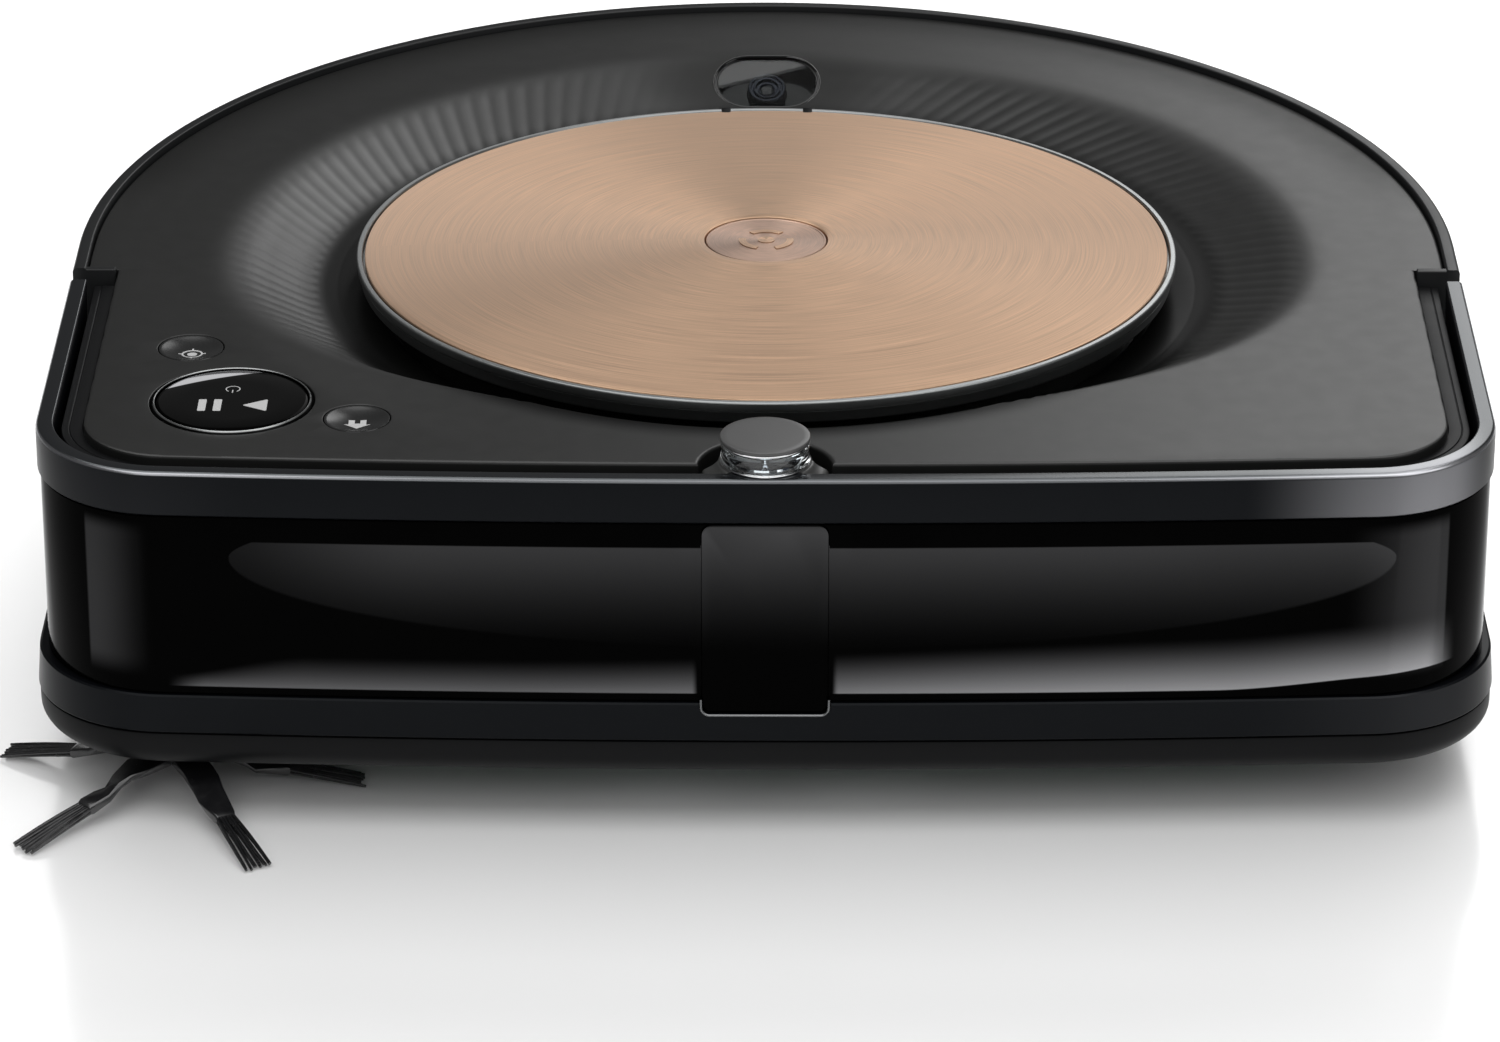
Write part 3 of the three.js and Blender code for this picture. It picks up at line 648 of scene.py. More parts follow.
def brushed_disc(name, color, roughness):
    """Metal turned on a lathe: fine circular scratches, and painted highlight and shade in wedges from the
    middle.
    """
    graph = Graph(name)
    x, y, radius = graph.axis("X"), graph.axis("Y"), graph.away()
    turn = y.math("ARCTAN2", x)
    layers = []
    for pitch, arcs, share in SCRATCHES:
        place = graph.node("CombineXYZ", {0: radius / pitch, 1: turn * arcs})
        noise = graph.node("TexNoise", {"Vector": place, "Scale": 1.0, "Detail": 3.0}, "Fac")
        layers.append(noise * share)
    both = layers[0] + layers[1]
    tone = both.ramp(0.34, 0.66, 0.80, 1.12, smooth=False)
    # Painted highlight and shade: the tone is raised and lowered in wedges from the middle.
    for direction, width, change in PAINTED_WEDGES:
        near = (turn - math.radians(direction)).cosine()
        tone = tone * near.ramp(math.cos(math.radians(width)), 1.0, 1.0, 1.0 + change)
    along = graph.node("CombineXYZ", {0: y * -1.0, 1: x})
    return graph.principled(
        Base_Color=graph.scaled(color[:3], tone),
        Metallic=1.0,
        Roughness=both.ramp(0.3, 0.7, roughness - 0.05, roughness + 0.05),
        Anisotropic=0.75,
        Anisotropic_Rotation=0.25,
        Tangent=graph.node("VectorMath", {0: along}, operation="NORMALIZE"),
        Normal=graph.bump(both, 0.006, 0.6),
    )


def clear(name, color):
    graph = Graph(name)
    return graph.principled(
        Base_Color=color,
        Roughness=graph.noise(3, 2).ramp(0.2, 0.8, 0.02, 0.04),
        Transmission_Weight=1.0,
        IOR=1.49,
    )


def window_gloss(name, painted_light_of):
    """Black infrared-clear plastic with painted reflections: the mask says how strongly each place mirrors
    the studio.
    """
    graph = Graph(name)
    graph.principled(
        Base_Color=graph.blend(graph.noise(9, 2), grey(0.0004), grey(0.0008)),
        Roughness=0.08,
        Specular_IOR_Level=0.012,
    )
    return graph.add_shine(graph.body(), painted_light_of(graph), 0.05, 1.03)


def painted_ceiling_reflection(x, z):
    """A painted reflection of the studio's ceiling in the window: flat on top, half an ellipse below, with
    round tips.
    """
    top, middle_x, half_width, tip, depth = WINDOW_HIGH[2] - 5.4, 10.0, 123.0, 4.0, 20.0
    share = (x - middle_x) / half_width
    square = (share * share).math("MINIMUM", 1.0)
    bulge = (1.0 - square).root()
    reach = bulge * depth + tip
    start = tip - (bulge * 14.0).math("MINIMUM", tip)
    below = top - z
    inside = (below - start).ramp(0.0, 0.35) * (reach - below).ramp(0.0, 0.9) * square.ramp(1.0, 0.995)
    fade = below.ramp(0.0, tip + depth + 1.5, 1.0, 0.0, smooth=False)
    return inside * fade * fade * x.ramp(-118.0, -70.0, 0.2, 1.0) * 0.036


def painted_floor_reflection(x, z):
    """A painted reflection of the bright floor along the window's lower edge, wider and stronger on the
    right.
    """
    right = x.ramp(-60.0, 120.0)
    rise = z - (x.ramp(95.0, 140.0, 0.0, 3.0) + (WINDOW_LOW[2] + 1.7))
    height = x.ramp(-127.0, -96.0, 0.4, 1.0) * (right * 5.0 + 8.0)
    fall = (1.0 - rise / height).clamped()
    ends = x.ramp(-127.0, -118.0) * x.ramp(147.0, 140.0)
    off_panel = (abs(x) - 14.2).ramp(0.0, 1.4)
    return rise.ramp(0.0, 0.3) * fall * fall * (right * 0.19 + 0.11) * ends * off_panel


def painted_corner_glints(x, z):
    """Painted upright glints at the two corners, sharp on their outer side."""
    low, top = WINDOW_LOW[2], WINDOW_HIGH[2]
    height = z.ramp(low + 3.0, low + 9.0) * z.ramp(top - 1.0, top - 5.0)
    right = x.ramp(144.6, 144.0) * x.ramp(144.6, 122.0, 0.030, 0.0)
    left = x.ramp(-143.8, -143.2) * x.ramp(-143.2, -129.5, 0.029, 0.0)
    return height * (left + right)


def painted_window_reflections(graph):
    """Where the window shows painted reflections of the studio."""
    x, z = graph.axis("X"), graph.axis("Z")
    return painted_ceiling_reflection(x, z) + painted_floor_reflection(x, z) + painted_corner_glints(x, z)


def painted_panel_highlights(graph):
    """Painted highlights along the centre panel's top and its two edges."""
    x, z = graph.axis("X"), graph.axis("Z")
    fade = (PANEL_HIGH[2] - 0.8 - z).ramp(0.0, 30.0, 1.0, 0.0, smooth=False)
    side = (PANEL_HIGH[0] - abs(x)).ramp(0.0, 2.5, 0.003, 0.0) * z.ramp(30.0, 46.0)
    return fade * fade * 0.05 + side


def painted_key_reflection(graph):
    """A painted reflection on the main button: the studio in a long crescent at its far left."""
    bend, thick, turn = 70.0, 4.4, math.radians(-66)
    shift = bend - (CLEAN_RADIUS - thick)
    beyond = graph.away(CLEAN[0] + shift * math.cos(turn), CLEAN[1] + shift * math.sin(turn)) - bend
    inside = graph.away(CLEAN[0], CLEAN[1]).ramp(CLEAN_RADIUS - 0.35, CLEAN_RADIUS - 0.6)
    return beyond.ramp(0.0, 0.35, 0.0, 0.75) * inside


def ring_line(name, color, roughness):
    """The main button's ring, a metal with painted light: a painted highlight along its crest, and painted
    shade, black, on both slopes.
    """
    graph = Graph(name)
    inset = RING_OUTER - graph.away(CLEAN[0], CLEAN[1])
    # Painted highlight on the crest between the two slopes, which are painted black as shade.
    crest = inset.ramp(0.88, 0.80) * inset.ramp(0.46, 0.52)
    return graph.principled(
        Base_Color=graph.blend(crest, grey(0.008), color),
        Metallic=1.0,
        Roughness=graph.noise(2, 2).ramp(0.2, 0.8, roughness * 0.9, roughness * 1.1),
    )


def facet_mirror(name):
    """The docking sensor's inner mirror, with painted reflections: three bright fields between dark ones."""
    graph = Graph(name)
    turn = (graph.axis("Y") - DOCK[1]).math("ARCTAN2", graph.axis("X")) + math.pi / 2
    painted_reflection_field = (turn * 3.0).cosine().ramp(-0.1, 0.5)
    return graph.principled(
        Base_Color=graph.blend(painted_reflection_field, (0.01, 0.014, 0.022, 1), (0.9, 0.92, 0.94, 1)),
        Metallic=1.0,
        Roughness=graph.noise(2, 2).ramp(0.2, 0.8, 0.04, 0.08),
    )


def lens_window(name):
    """Dark glass over the camera, with a painted reflection of a ceiling: a slanted band across its top."""
    graph = Graph(name)
    # Painted reflection: the band lies above this slanted line.
    slant = graph.axis("Y") - (graph.axis("X") * 0.28 + (CAMERA_PLACE[1] + 1.9))
    see_through = graph.node("BsdfTransparent", {"Color": (0.85, 0.86, 0.86, 1)})
    graph.principled(
        Base_Color=graph.blend(graph.noise(6, 2), grey(0.004), grey(0.007)),
        Roughness=0.1,
        Specular_IOR_Level=0.01,
    )
    body = graph.node("MixShader", {0: 0.15, 1: see_through, 2: graph.body()})
    return graph.add_shine(body, slant.ramp(0.0, 0.3, 0.002, 0.032), 0.03)


DECK_COLOR = grey(0.010, (0.98, 1.0, 0.96))
BAND_COLOR = grey(0.0035, (0.85, 0.95, 1.25))
COPPER_COLOR = (0.72, 0.475, 0.315, 1)

LOOK = {
    "deck": bowl_plastic("deck_plastic", DECK_COLOR, 0.37, 0.5),
    "band": satin_band("satin_plastic", BAND_COLOR),
    "shell": moulded("shell_plastic", grey(0.012, (0.95, 1.0, 1.05)), 0.36, 0.5, 0.006, 0.3),
    "chassis": moulded("chassis_plastic", grey(0.0045, (0.95, 1.0, 1.1)), 0.42, 0.6, 0.01, 0.13),
    "copper": brushed_disc("copper_disc", COPPER_COLOR, 0.34),
    "badge": brushed_disc("badge_copper", (0.60, 0.42, 0.33, 1), 0.42),
    "ring": metal("lid_ring", (0.30, 0.31, 0.31), 0.36),
    "chrome": metal("bright_ring", (0.95, 0.96, 0.97), 0.16),
    "rim_chrome": ring_line("button_ring", (0.42, 0.43, 0.43, 1), 0.34),
    "mirror": facet_mirror("inner_mirror"),
    "steel": metal("steel", (0.55, 0.56, 0.57), 0.28),
    "clear": clear("clear_lens", (0.93, 0.96, 0.97, 1)),
    "window": window_gloss("gloss_window", painted_window_reflections),
    "panel": window_gloss("gloss_panel", painted_panel_highlights),
    "gloss": moulded("gloss_black", grey(0.004), 0.06, 0.8, 0.0005, 0.5),
    "key": window_gloss("gloss_key", painted_key_reflection),
    "dish": moulded("dished_plastic", grey(0.012, (0.98, 1.0, 1.0)), 0.24, 0.5, 0.002, 0.6),
    "foot": moulded("satin_foot", grey(0.035, (0.98, 1.0, 0.97)), 0.32, 0.5, 0.003, 0.7),
    "lip": metal("lip_bead", (0.20, 0.205, 0.21), 0.3),
    "bead": metal("camera_bead", (0.30, 0.30, 0.30), 0.4),
    "lens_window": lens_window("camera_glass"),
    "lens_black": metal("lens_black", (0.055, 0.06, 0.075), 0.28),
    "lens_glass": moulded("lens_glass", grey(0.006, (0.6, 0.8, 1.6)), 0.03, 0.8, 0.0005, 0.8),
    "cap": moulded("cap_plastic", grey(0.075, (1.0, 1.0, 1.0)), 0.33, 0.5, 0.004, 0.5),
    "rubber": rubber("tyre_rubber", (0.018, 0.018, 0.018)),
    "roller": rubber("roller_rubber", (0.03, 0.12, 0.065), 0.6),
    "ribbon": rubber("brush_rubber", (0.010, 0.010, 0.011), 0.2, 0.01, 1.0),
    "bristle": rubber("bristle", (0.012, 0.012, 0.013), 0.22, 0.005, 1.0),
    "icon": moulded("icon_print", grey(0.5), 0.5, 0.4, 0.001, 0.3),
    "bin": moulded("bin_plastic", grey(0.03), 0.2, 0.5, 0.004, 0.5),
    "handle": moulded("handle_plastic", grey(0.13, (0.8, 1.25, 0.95)), 0.4, 0.4, 0.008, 0.4),
    "board": moulded("board", (0.012, 0.07, 0.03, 1), 0.4, 0.4, 0.004, 0.5),
    "paper": moulded("filter_paper", (0.62, 0.6, 0.5, 1), 0.9, 0.6, 0.05, 0.1),
}


def finish_piece(obj, body, look, stands_for=()):
    """Gives a piece its material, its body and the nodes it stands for."""
    obj.data.materials.clear()
    obj.data.materials.append(LOOK[look])
    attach(obj, body)
    if stands_for:
        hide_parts(*stands_for)
    return obj


# ---- bumper -------------------------------------------------------------------------------
WINDOW_TOP_Z = WINDOW_HIGH[2] + GAP
WINDOW_BOTTOM_Z = WINDOW_LOW[2] - GAP
WINDOW_END_Y = WINDOW_HIGH[1] + GAP
LOW_FLARE = 1.9  # how far the lower band stands out at the sides
PANEL_CORNER = 2.4
LIP_CORNER = 2.5


def flare_low(obj):
    """The lower band and the base stand out a little at the sides of the front half."""
    for vertex in obj.data.vertices:
        x, y, z = vertex.co / MM
        lower = 1 - float(smooth_step(z, BUMPER_LOW_Z + 6, WINDOW_BOTTOM_Z + 4))
        side = float(smooth_step(abs(x), 110, 150))
        forward = 1 - float(smooth_step(y, -20, 70))
        vertex.co.x += math.copysign(LOW_FLARE * MM, x) * lower * side * forward
    return obj


def bumper_shell():
    """The bumper's frame: a full-height wall with the window's opening cut out of it."""
    section = rounded(oblong(0, BUMPER_LOW_Z, BUMPER_WALL, RIM_Z), [0.5, 0.2, 0.35, 1.1], 5)
    shell = sweep("bumper_shell", front_track(BUMPER_END_Y), section)
    lip = 0.35
    opening = rounded([
        (-2, WINDOW_BOTTOM_Z - 2 * lip), (0.0, WINDOW_BOTTOM_Z - lip), (lip, WINDOW_BOTTOM_Z),
        (BUMPER_WALL + 2, WINDOW_BOTTOM_Z), (BUMPER_WALL + 2, WINDOW_TOP_Z),
        (lip, WINDOW_TOP_Z), (0.0, WINDOW_TOP_Z + lip), (-2, WINDOW_TOP_Z + 2 * lip),
    ], 0)
    window = sweep("window_opening", front_track(WINDOW_END_Y), opening)
    notch_x = PANEL_HIGH[0] + 2 * GAP
    notch_low = PANEL_LOW[2] - GAP
    corners = oblong(-notch_x, notch_low, notch_x, WINDOW_BOTTOM_Z + 1)
    notch = rounded(corners, [PANEL_CORNER, PANEL_CORNER, 0, 0], 8)
    flare_low(cut(shell, window, plate("notch_cut", notch, FRONT_Y - 3, FRONT_Y + 8)))
    finish_piece(shell, "bumper", "band", ["bumper_frame"])


def bow(x):
    """How far the bowed front lies behind its middle."""
    return x * x / (2 * BOW_RADIUS)


def notch_lip():
    """A bright bead round the lower edge of the centre panel's notch."""
    half = PANEL_HIGH[0] + 0.15
    top = PANEL_LOW[2] + 3.2
    low = PANEL_LOW[2] - 0.55
    corners = [(-half, top), (-half, low), (half, low), (half, top)]
    path = rounded(corners, [0, LIP_CORNER, LIP_CORNER, 0], 10)
    lip = tube("panel_notch_lip", [(x, FRONT_Y - 0.02 + bow(x), z) for x, z in path], 0.28, 8)
    finish_piece(lip, "bumper", "lip")


def window_glass():
    """The gloss strip behind the frame's opening, with softly rounded edges."""
    low, high = WINDOW_LOW[2] + 0.05, WINDOW_HIGH[2] - 0.05
    section = rounded(oblong(0.62, low, 3.2, high), [0.3, 0.1, 0.1, 0.3], 4)
    glass = sweep("window_glass", front_track(WINDOW_HIGH[1]), section)
    half = PANEL_HIGH[0] + 0.12
    bottom, top = WINDOW_LOW[2] - 2, PANEL_HIGH[2] + 0.2
    shape = rounded(oblong(-half, bottom, half, top), [0, 0, PANEL_CORNER, PANEL_CORNER], 5)
    cut(glass, plate("panel_pocket", shape, FRONT_Y - 3, FRONT_Y + 2.1))
    finish_piece(glass, "bumper", "window", ["bumper_window"])


def sensor_panel():
    """The centre panel: a bowed plate with rounded corners and edges."""
    half = PANEL_HIGH[0]
    low, high = PANEL_LOW[2], PANEL_HIGH[2]
    outlines = []
    for inset, depth in ((0.0, 1.5), (0.0, 0.75), (0.12, 0.5), (0.4, 0.4)):
        corners = oblong(inset - half, low + inset, half - inset, high - inset)
        shape = rounded(corners, [2.0, 2.0, PANEL_CORNER, PANEL_CORNER], 6)
        outlines.append([(x, FRONT_Y + depth + bow(x), z) for x, z in shape])
    panel = loft("centre_sensor_panel", outlines)
    finish_piece(panel, "bumper", "panel", ["front_sensor_panel"])


CAP_RADIUS = DOCK_RADIUS * 0.955
CAP_SIDE = 0.95


def dock_foot(centre):
    """The docking sensor's foot: a round neck with a flare in front. Gives back the neck's height."""
    base_low = span("dock_sensor_base")[0][2]
    foot_top = RIM_Z + 0.15
    neck = [(0, base_low), (9.9, base_low), (9.9, foot_top - 0.25), (9.7, foot_top), (0, foot_top)]
    foot = lathe("dock_sensor_foot", neck, 96, centre, 50)
    flare = lathe("foot_flare", [
        (0, base_low), (13.3, base_low), (13.3, RIM_Z - 2.6), (12.9, RIM_Z - 2.1), (12.0, RIM_Z - 1.6),
        (11.1, RIM_Z - 1.1), (10.4, RIM_Z - 0.5), (9.95, RIM_Z), (0, RIM_Z),
    ], 96, centre, 50)
    cut(flare, block("flare_back", (-30, DOCK[1], ROOM_LOW), (30, DOCK[1] + 30, ROOM_HIGH)), angle=50)
    join(foot, flare, angle=50)
    wall_back = FRONT_Y + BUMPER_WALL + 0.25
    wall_room = block("wall_room", (-30, FRONT_Y - 5, ROOM_LOW), (30, wall_back, ROOM_HIGH))
    cut(foot, wall_room, angle=50)
    finish_piece(foot, "bumper", "foot", ["dock_sensor_base"])
    return foot_top


def dock_sensor():
    """The docking sensor: a flared foot, a clear ring round a waisted mirror, and a thin cap."""
    centre = (0, DOCK[1])
    foot_top = dock_foot(centre)
    cap_high = span("dock_sensor_cap")[1][2]
    cap_low = cap_high - 0.06 - CAP_SIDE
    low, high = RIM_Z + 0.5, cap_low - 0.35
    outer = CAP_RADIUS - 0.15
    trims = (("dock_trim_low", foot_top, low - 0.02), ("dock_trim_high", high + 0.02, cap_low))
    for name, start, end in trims:
        corners = oblong(7.0, start, outer + 0.1, end)
        trim = lathe(name, rounded(corners, [0, 0.12, 0.12, 0], 3), 128, centre)
        finish_piece(trim, "bumper", "chrome")
    ring = lathe("dock_sensor_ring", [
        (8.3, low), (outer - 0.5, low), (outer, low + 0.3), (outer, low + 0.9), (outer - 0.2, low + 1.3),
        (outer - 0.2, high - 1.0), (outer, high - 0.6), (outer, high - 0.2), (outer - 0.3, high), (8.3, high),
    ], 128, centre)
    finish_piece(ring, "bumper", "clear", ["dock_sensor_lens"])
    profile = [(0, low), (7.6, low), (7.4, low + 0.35)]
    profile += [(0.8 + 5.6 * t ** 1.6, low + 0.5 + (high - low - 0.5) * t) for t in np.linspace(0, 1, 15)]
    mirror = lathe("dock_sensor_reflector", profile + [(0, high)], 96, centre, 20)
    finish_piece(mirror, "bumper", "mirror")
    profile = [(0, cap_low), (CAP_RADIUS - 0.3, cap_low), (CAP_RADIUS, cap_low + 0.25)]
    profile += [(CAP_RADIUS, cap_high - 0.5)]
    profile += arc((CAP_RADIUS - 0.35, cap_high - 0.45), 0.35, 10, 80, 5)
    profile += [(CAP_RADIUS - 1.5, cap_high - 0.06), (0, cap_high)]
    cap = lathe("dock_sensor_top", profile, 128, centre)
    finish_piece(cap, "bumper", "cap", ["dock_sensor_cap"])


def bumper():
    bumper_shell()
    notch_lip()
    window_glass()
    sensor_panel()
    dock_sensor()


# ---- deck, shell and base -----------------------------------------------------------------
FLUTES = 146
FLUTE_DEPTH = 0.065
FLUTE_SWIRL = math.radians(27)
BOWL_OUTER = 127.5  # where the bowl is full, and where it has closed up at the front
BOWL_NARROW = 98.2
BOWL_PROFILE = (
    (APERTURE, LEDGE_Z), (101.0, 63.2), (104.0, 64.0), (112.0, 66.6), (118.0, 68.5), (122.5, 69.4),
    (BOWL_OUTER, DECK_Z),
)
LID_HOLE = 88.8
LEDGE_LOW_Z = LEDGE_Z - 2.2


def smooth_curve(points, values):
    """A smooth curve through the points, as cubic segments, level at its end."""
    x = np.array([p[0] for p in points])
    y = np.array([p[1] for p in points])
    slope = np.gradient(y, x)
    slope[-1] = 0
    i = np.clip(np.searchsorted(x, values) - 1, 0, len(x) - 2)
    h = x[i + 1] - x[i]
    t = np.clip((values - x[i]) / h, 0, 1)
    return ((1 + 2 * t) * (1 - t) ** 2 * y[i] + t * (1 - t) ** 2 * h * slope[i]
            + t * t * (3 - 2 * t) * y[i + 1] + t * t * (t - 1) * h * slope[i + 1])


def degrees_from(direction, azimuth):
    return np.degrees(np.abs((azimuth - direction + math.pi) % (2 * math.pi) - math.pi))


def bowl_share(azimuth):
    """1 where the bowl is full depth, falling to 0 across each side of the front."""
    return smooth_step(degrees_from(-math.pi / 2, azimuth), 26, 86)


def deck_height(radius, azimuth):
    """The deck's height at a place: the bowl's slope with its curved flutes, then the flat."""
    share = bowl_share(azimuth)
    outer = BOWL_NARROW + (BOWL_OUTER - BOWL_NARROW) * share
    stretched = APERTURE + (radius - APERTURE) * (BOWL_OUTER - APERTURE) / (outer - APERTURE)
    height = smooth_curve(BOWL_PROFILE, stretched)
    height = np.where(radius >= outer, DECK_Z, height)
    phase = FLUTES * (azimuth + np.tan(FLUTE_SWIRL) * np.log(np.maximum(radius, 1) / 108))
    band = smooth_step(radius, 101.2, 103.0) * (1 - smooth_step(stretched, 114, 122.5)) * share ** 0.5
    band = band * (0.08 + 0.92 * smooth_step(degrees_from(math.pi / 2, azimuth), 9, 34))
    return height + FLUTE_DEPTH * band * (np.cos(phase) - 0.15 * np.cos(2 * phase)) * np.minimum(share * 3, 1)


def polar_edge(track, inset, azimuth):
    """How far the outline lies from the origin in each direction."""
    points = track[0] - track[1] * inset
    angle = np.arctan2(points[:, 1], points[:, 0])
    order = np.argsort(angle)
    distance = np.linalg.norm(points, axis=1)
    return np.interp(azimuth, angle[order], distance[order], period=2 * math.pi)


def deck_edge():
    """The directions used for the deck, and how far its edge lies in each of them."""
    step_y = SHELL_START_Y + 2 + GAP
    rear_x = HALF_WIDTH - SHELL_WALL - GAP
    steps = [math.atan2(step_y, HALF_WIDTH - DECK_INSET), math.atan2(step_y, rear_x)]
    mirrored_steps = [math.pi - step for step in steps]
    azimuth = np.concatenate([np.linspace(-math.pi, math.pi, 1560, endpoint=False), steps, mirrored_steps])
    azimuth = np.unique((azimuth + math.pi) % (2 * math.pi) - math.pi)
    front = polar_edge(front_track(20, DECK_PUSH), DECK_INSET, azimuth)
    rear = polar_edge(rear_track(-30, 240), SHELL_WALL + GAP, azimuth)
    behind = np.where(np.cos(azimuth) > 0, azimuth >= steps[1], azimuth <= -math.pi - steps[1])
    behind = behind | (np.sin(azimuth) > 0)
    near_step = np.abs(np.sin(azimuth)) * HALF_WIDTH < -step_y + 0.01
    behind = behind | (near_step & (np.sin(azimuth) * rear_x >= step_y - 0.3))
    return azimuth, np.where(behind, rear, front)


def deck_grid():
    """The deck as one closed skin: the ledge under the lid, the fluted bowl, the flat and the edge."""
    azimuth, edge = deck_edge()
    rings = []

    def ring(radius, height):
        radius = np.broadcast_to(radius, azimuth.shape)
        height = np.broadcast_to(height, azimuth.shape)
        rings.append(np.stack([radius * np.cos(azimuth), radius * np.sin(azimuth), height], axis=-1))

    ring(LID_HOLE, LEDGE_Z - LEDGE_FALL)
    ring(APERTURE - 0.3, LEDGE_Z)
    lip = LEDGE_Z + (DECK_Z - 0.9 - LEDGE_Z) * (1 - smooth_step(bowl_share(azimuth), 0.0, 0.25))
    ring(APERTURE, np.minimum(LEDGE_Z + 0.02, lip))
    slope = [np.linspace(APERTURE, 100, 6)[1:], np.linspace(100, 124, 40)[1:], [125.5, BOWL_OUTER]]
    for radius in np.concatenate(slope):
        radii = np.minimum(radius, edge - 2)
        ring(radii, deck_height(radii, azimuth))
    flat_start = np.minimum(BOWL_OUTER + 0.1, edge - 2)
    for share_out in (0.25, 0.5, 0.75):
        ring(flat_start + (edge - 0.9 - flat_start) * share_out, DECK_Z)
    for inset, drop in ((0.9, 0.0), (0.5, 0.05), (0.2, 0.22), (0.05, 0.5), (0.0, 0.8)):
        ring(edge - inset, DECK_Z - drop)
    ring(edge, DECK_Z - DECK_THICK)
    ring(np.minimum(BOWL_OUTER + 1, edge - 0.5), DECK_Z - DECK_THICK)
    ring(97.5, LEDGE_LOW_Z)
    ring(LID_HOLE, LEDGE_LOW_Z)
    verts = np.stack(rings).reshape(-1, 3)
    return build("deck_top", verts, grid_faces(len(rings), len(azimuth), wrap_rows=True, wrap_columns=True))


def hole(name, centre, radius, chamfer, steps=64):
    """A cutter for a round hole with a small rounded mouth at the deck's surface."""
    mouth = arc((radius + chamfer, DECK_Z - chamfer), chamfer, 180, 90, 5)
    top = DECK_Z + 4
    profile = [(0, 40), (radius, 40)] + mouth + [(radius + chamfer, top), (0, top)]
    return lathe(name, profile, steps, centre)


def stadium(width, height, steps=14):
    radius = height / 2
    half = width / 2 - radius
    return arc((half, 0), radius, -90, 90, steps) + arc((-half, 0), radius, 90, 270, steps)


def camera_loft(name, layers, angle=28):
    """A solid in the camera's tilted plane through stadium outlines of (grow, depth)."""
    outlines = []
    for grow, depth in layers:
        shape = stadium(CAMERA_WIDTH + grow, CAMERA_HEIGHT + grow)
        outlines.append([(x, y, depth) for x, y in shape])
    return to_camera(loft(name, outlines, angle))


def to_camera(obj):
    place = Matrix.Translation(Vector(CAMERA_PLACE) * MM) @ Matrix.Rotation(CAMERA_TILT, 4, "X")
    obj.data.transform(place)
    return obj


def deck():
    body = deck_grid()
    cutters = [
        hole("dock_notch", (0, DOCK[1]), NOTCH_RADIUS, 0.7, 96),
        hole("clean_hole", CLEAN[:2], CLEAN_RADIUS + 1.5, 0.25, 96),
        hole("spot_hole", SPOT[:2], SMALL_RADIUS + 0.2, 0.2),
        hole("home_hole", HOME[:2], SMALL_RADIUS + 0.2, 0.2),
        camera_loft("camera_hole", [(1.0, -12), (1.0, 0.3), (1.8, 1.6), (8, 14)]),
        block("hinge_room", (-26, 84, ROOM_LOW), (26, 97, ROOM_HIGH)),
        block("bracket_room", (-11.8, 90, ROOM_LOW), (11.8, 99.9, ROOM_HIGH)),
    ]
    cut(body, *cutters)
    finish_piece(body, "chassis", "deck", ["top_deck"])


def vent_slots():
    """Two rows of upright exhaust slots, set round the rear wall's right-hand half."""
    slots = []
    for i in range(-9, 10):
        turn = math.pi / 4 + i * 0.0225
        ahead = np.array((math.cos(turn), math.sin(turn)))
        across = np.array((-math.sin(turn), math.cos(turn)))
        for low, high in ((24, 38), (40, 54)):
            layers = []
            for reach in (HALF_WIDTH - 8, HALF_WIDTH + 6):
                layer = []
                for z, side in stadium(high - low, 2.0, 5):
                    x, y = ahead * reach + across * side
                    layer.append((x, REAR_CENTRE_Y + y, (low + high) / 2 + z))
                layers.append(layer)
            slots.append(loft(f"vent_{i}_{low}", layers))
    return slots


def rear_shell():
    """The rear wall, whose rim stands a little above the deck and turns in at the two shoulders."""
    section = rounded(oblong(0, SHELL_LOW_Z, SHELL_WALL, RIM_Z), [0.4, 0.2, 0.4, 1.0], 5)
    shell = sweep("back_shell", rear_track(SHELL_START_Y), section)
    shoulders = []
    for side in (-1, 1):
        inner, outer = sorted((side * (HALF_WIDTH - DECK_INSET + 0.4), side * (HALF_WIDTH - 1.2)))
        low = (inner, SHELL_START_Y, SHELL_LOW_Z)
        high = (outer, SHELL_START_Y + 2, RIM_Z - 0.35)
        shoulders.append(soft_block(f"shoulder_{side}", low, high, 0.3, 0.3))
    join(shell, *shoulders)
    cut(shell, *vent_slots())
    finish_piece(shell, "chassis", "shell", ["rear_shell"])


def mid_frame():
    """The wall behind the bumper, with a ledge round the deck that sinks towards the front."""
    low, high = (corner[2] for corner in span("mid_frame"))
    inset, push = 5.0, 3.6
    ledge, deck_room, wall_back = high - 1.4, DECK_INSET - 0.4, 11.2
    section = rounded([
        (inset, low), (wall_back, low), (wall_back, ledge), (deck_room, ledge), (deck_room, high),
        (inset + 1.9, high), (inset + 1.7, high - 0.25), (inset + 1.5, high - 0.05), (inset, high - 0.1),
    ], [0.2, 0, 0, 0, 0.15, 0.1, 0.1, 0.1, 0.35], 3)
    wall = sweep("inner_frame", front_track(SHELL_START_Y - 2, push), section)
    for vertex in wall.data.vertices:
        height = vertex.co.z / MM
        if height > high - 2:
            vertex.co.z -= 3.4 * MM * (1 - float(smooth_step(vertex.co.y / MM, -134.0, -108.0)))
    cut(wall, rod("dock_room", NOTCH_RADIUS, high - 5, high + 5, 64, (0, DOCK[1])))
    finish_piece(wall, "chassis", "chassis", ["mid_frame"])


def ellipse_edge(out, up, inset, low, steps=14):
    """A quarter ellipse from the flat bottom up to the side."""
    points = []
    for k in range(steps + 1):
        a = math.pi / 2 * k / steps
        points.append((inset + out * (1 - math.sin(a)), low + up * (1 - math.cos(a))))
    return points


SCREWS = ((-60, 60), (60, 60), (-60, -25), (60, -25), (-100, 100), (100, 100), (138, -100), (0, -30))


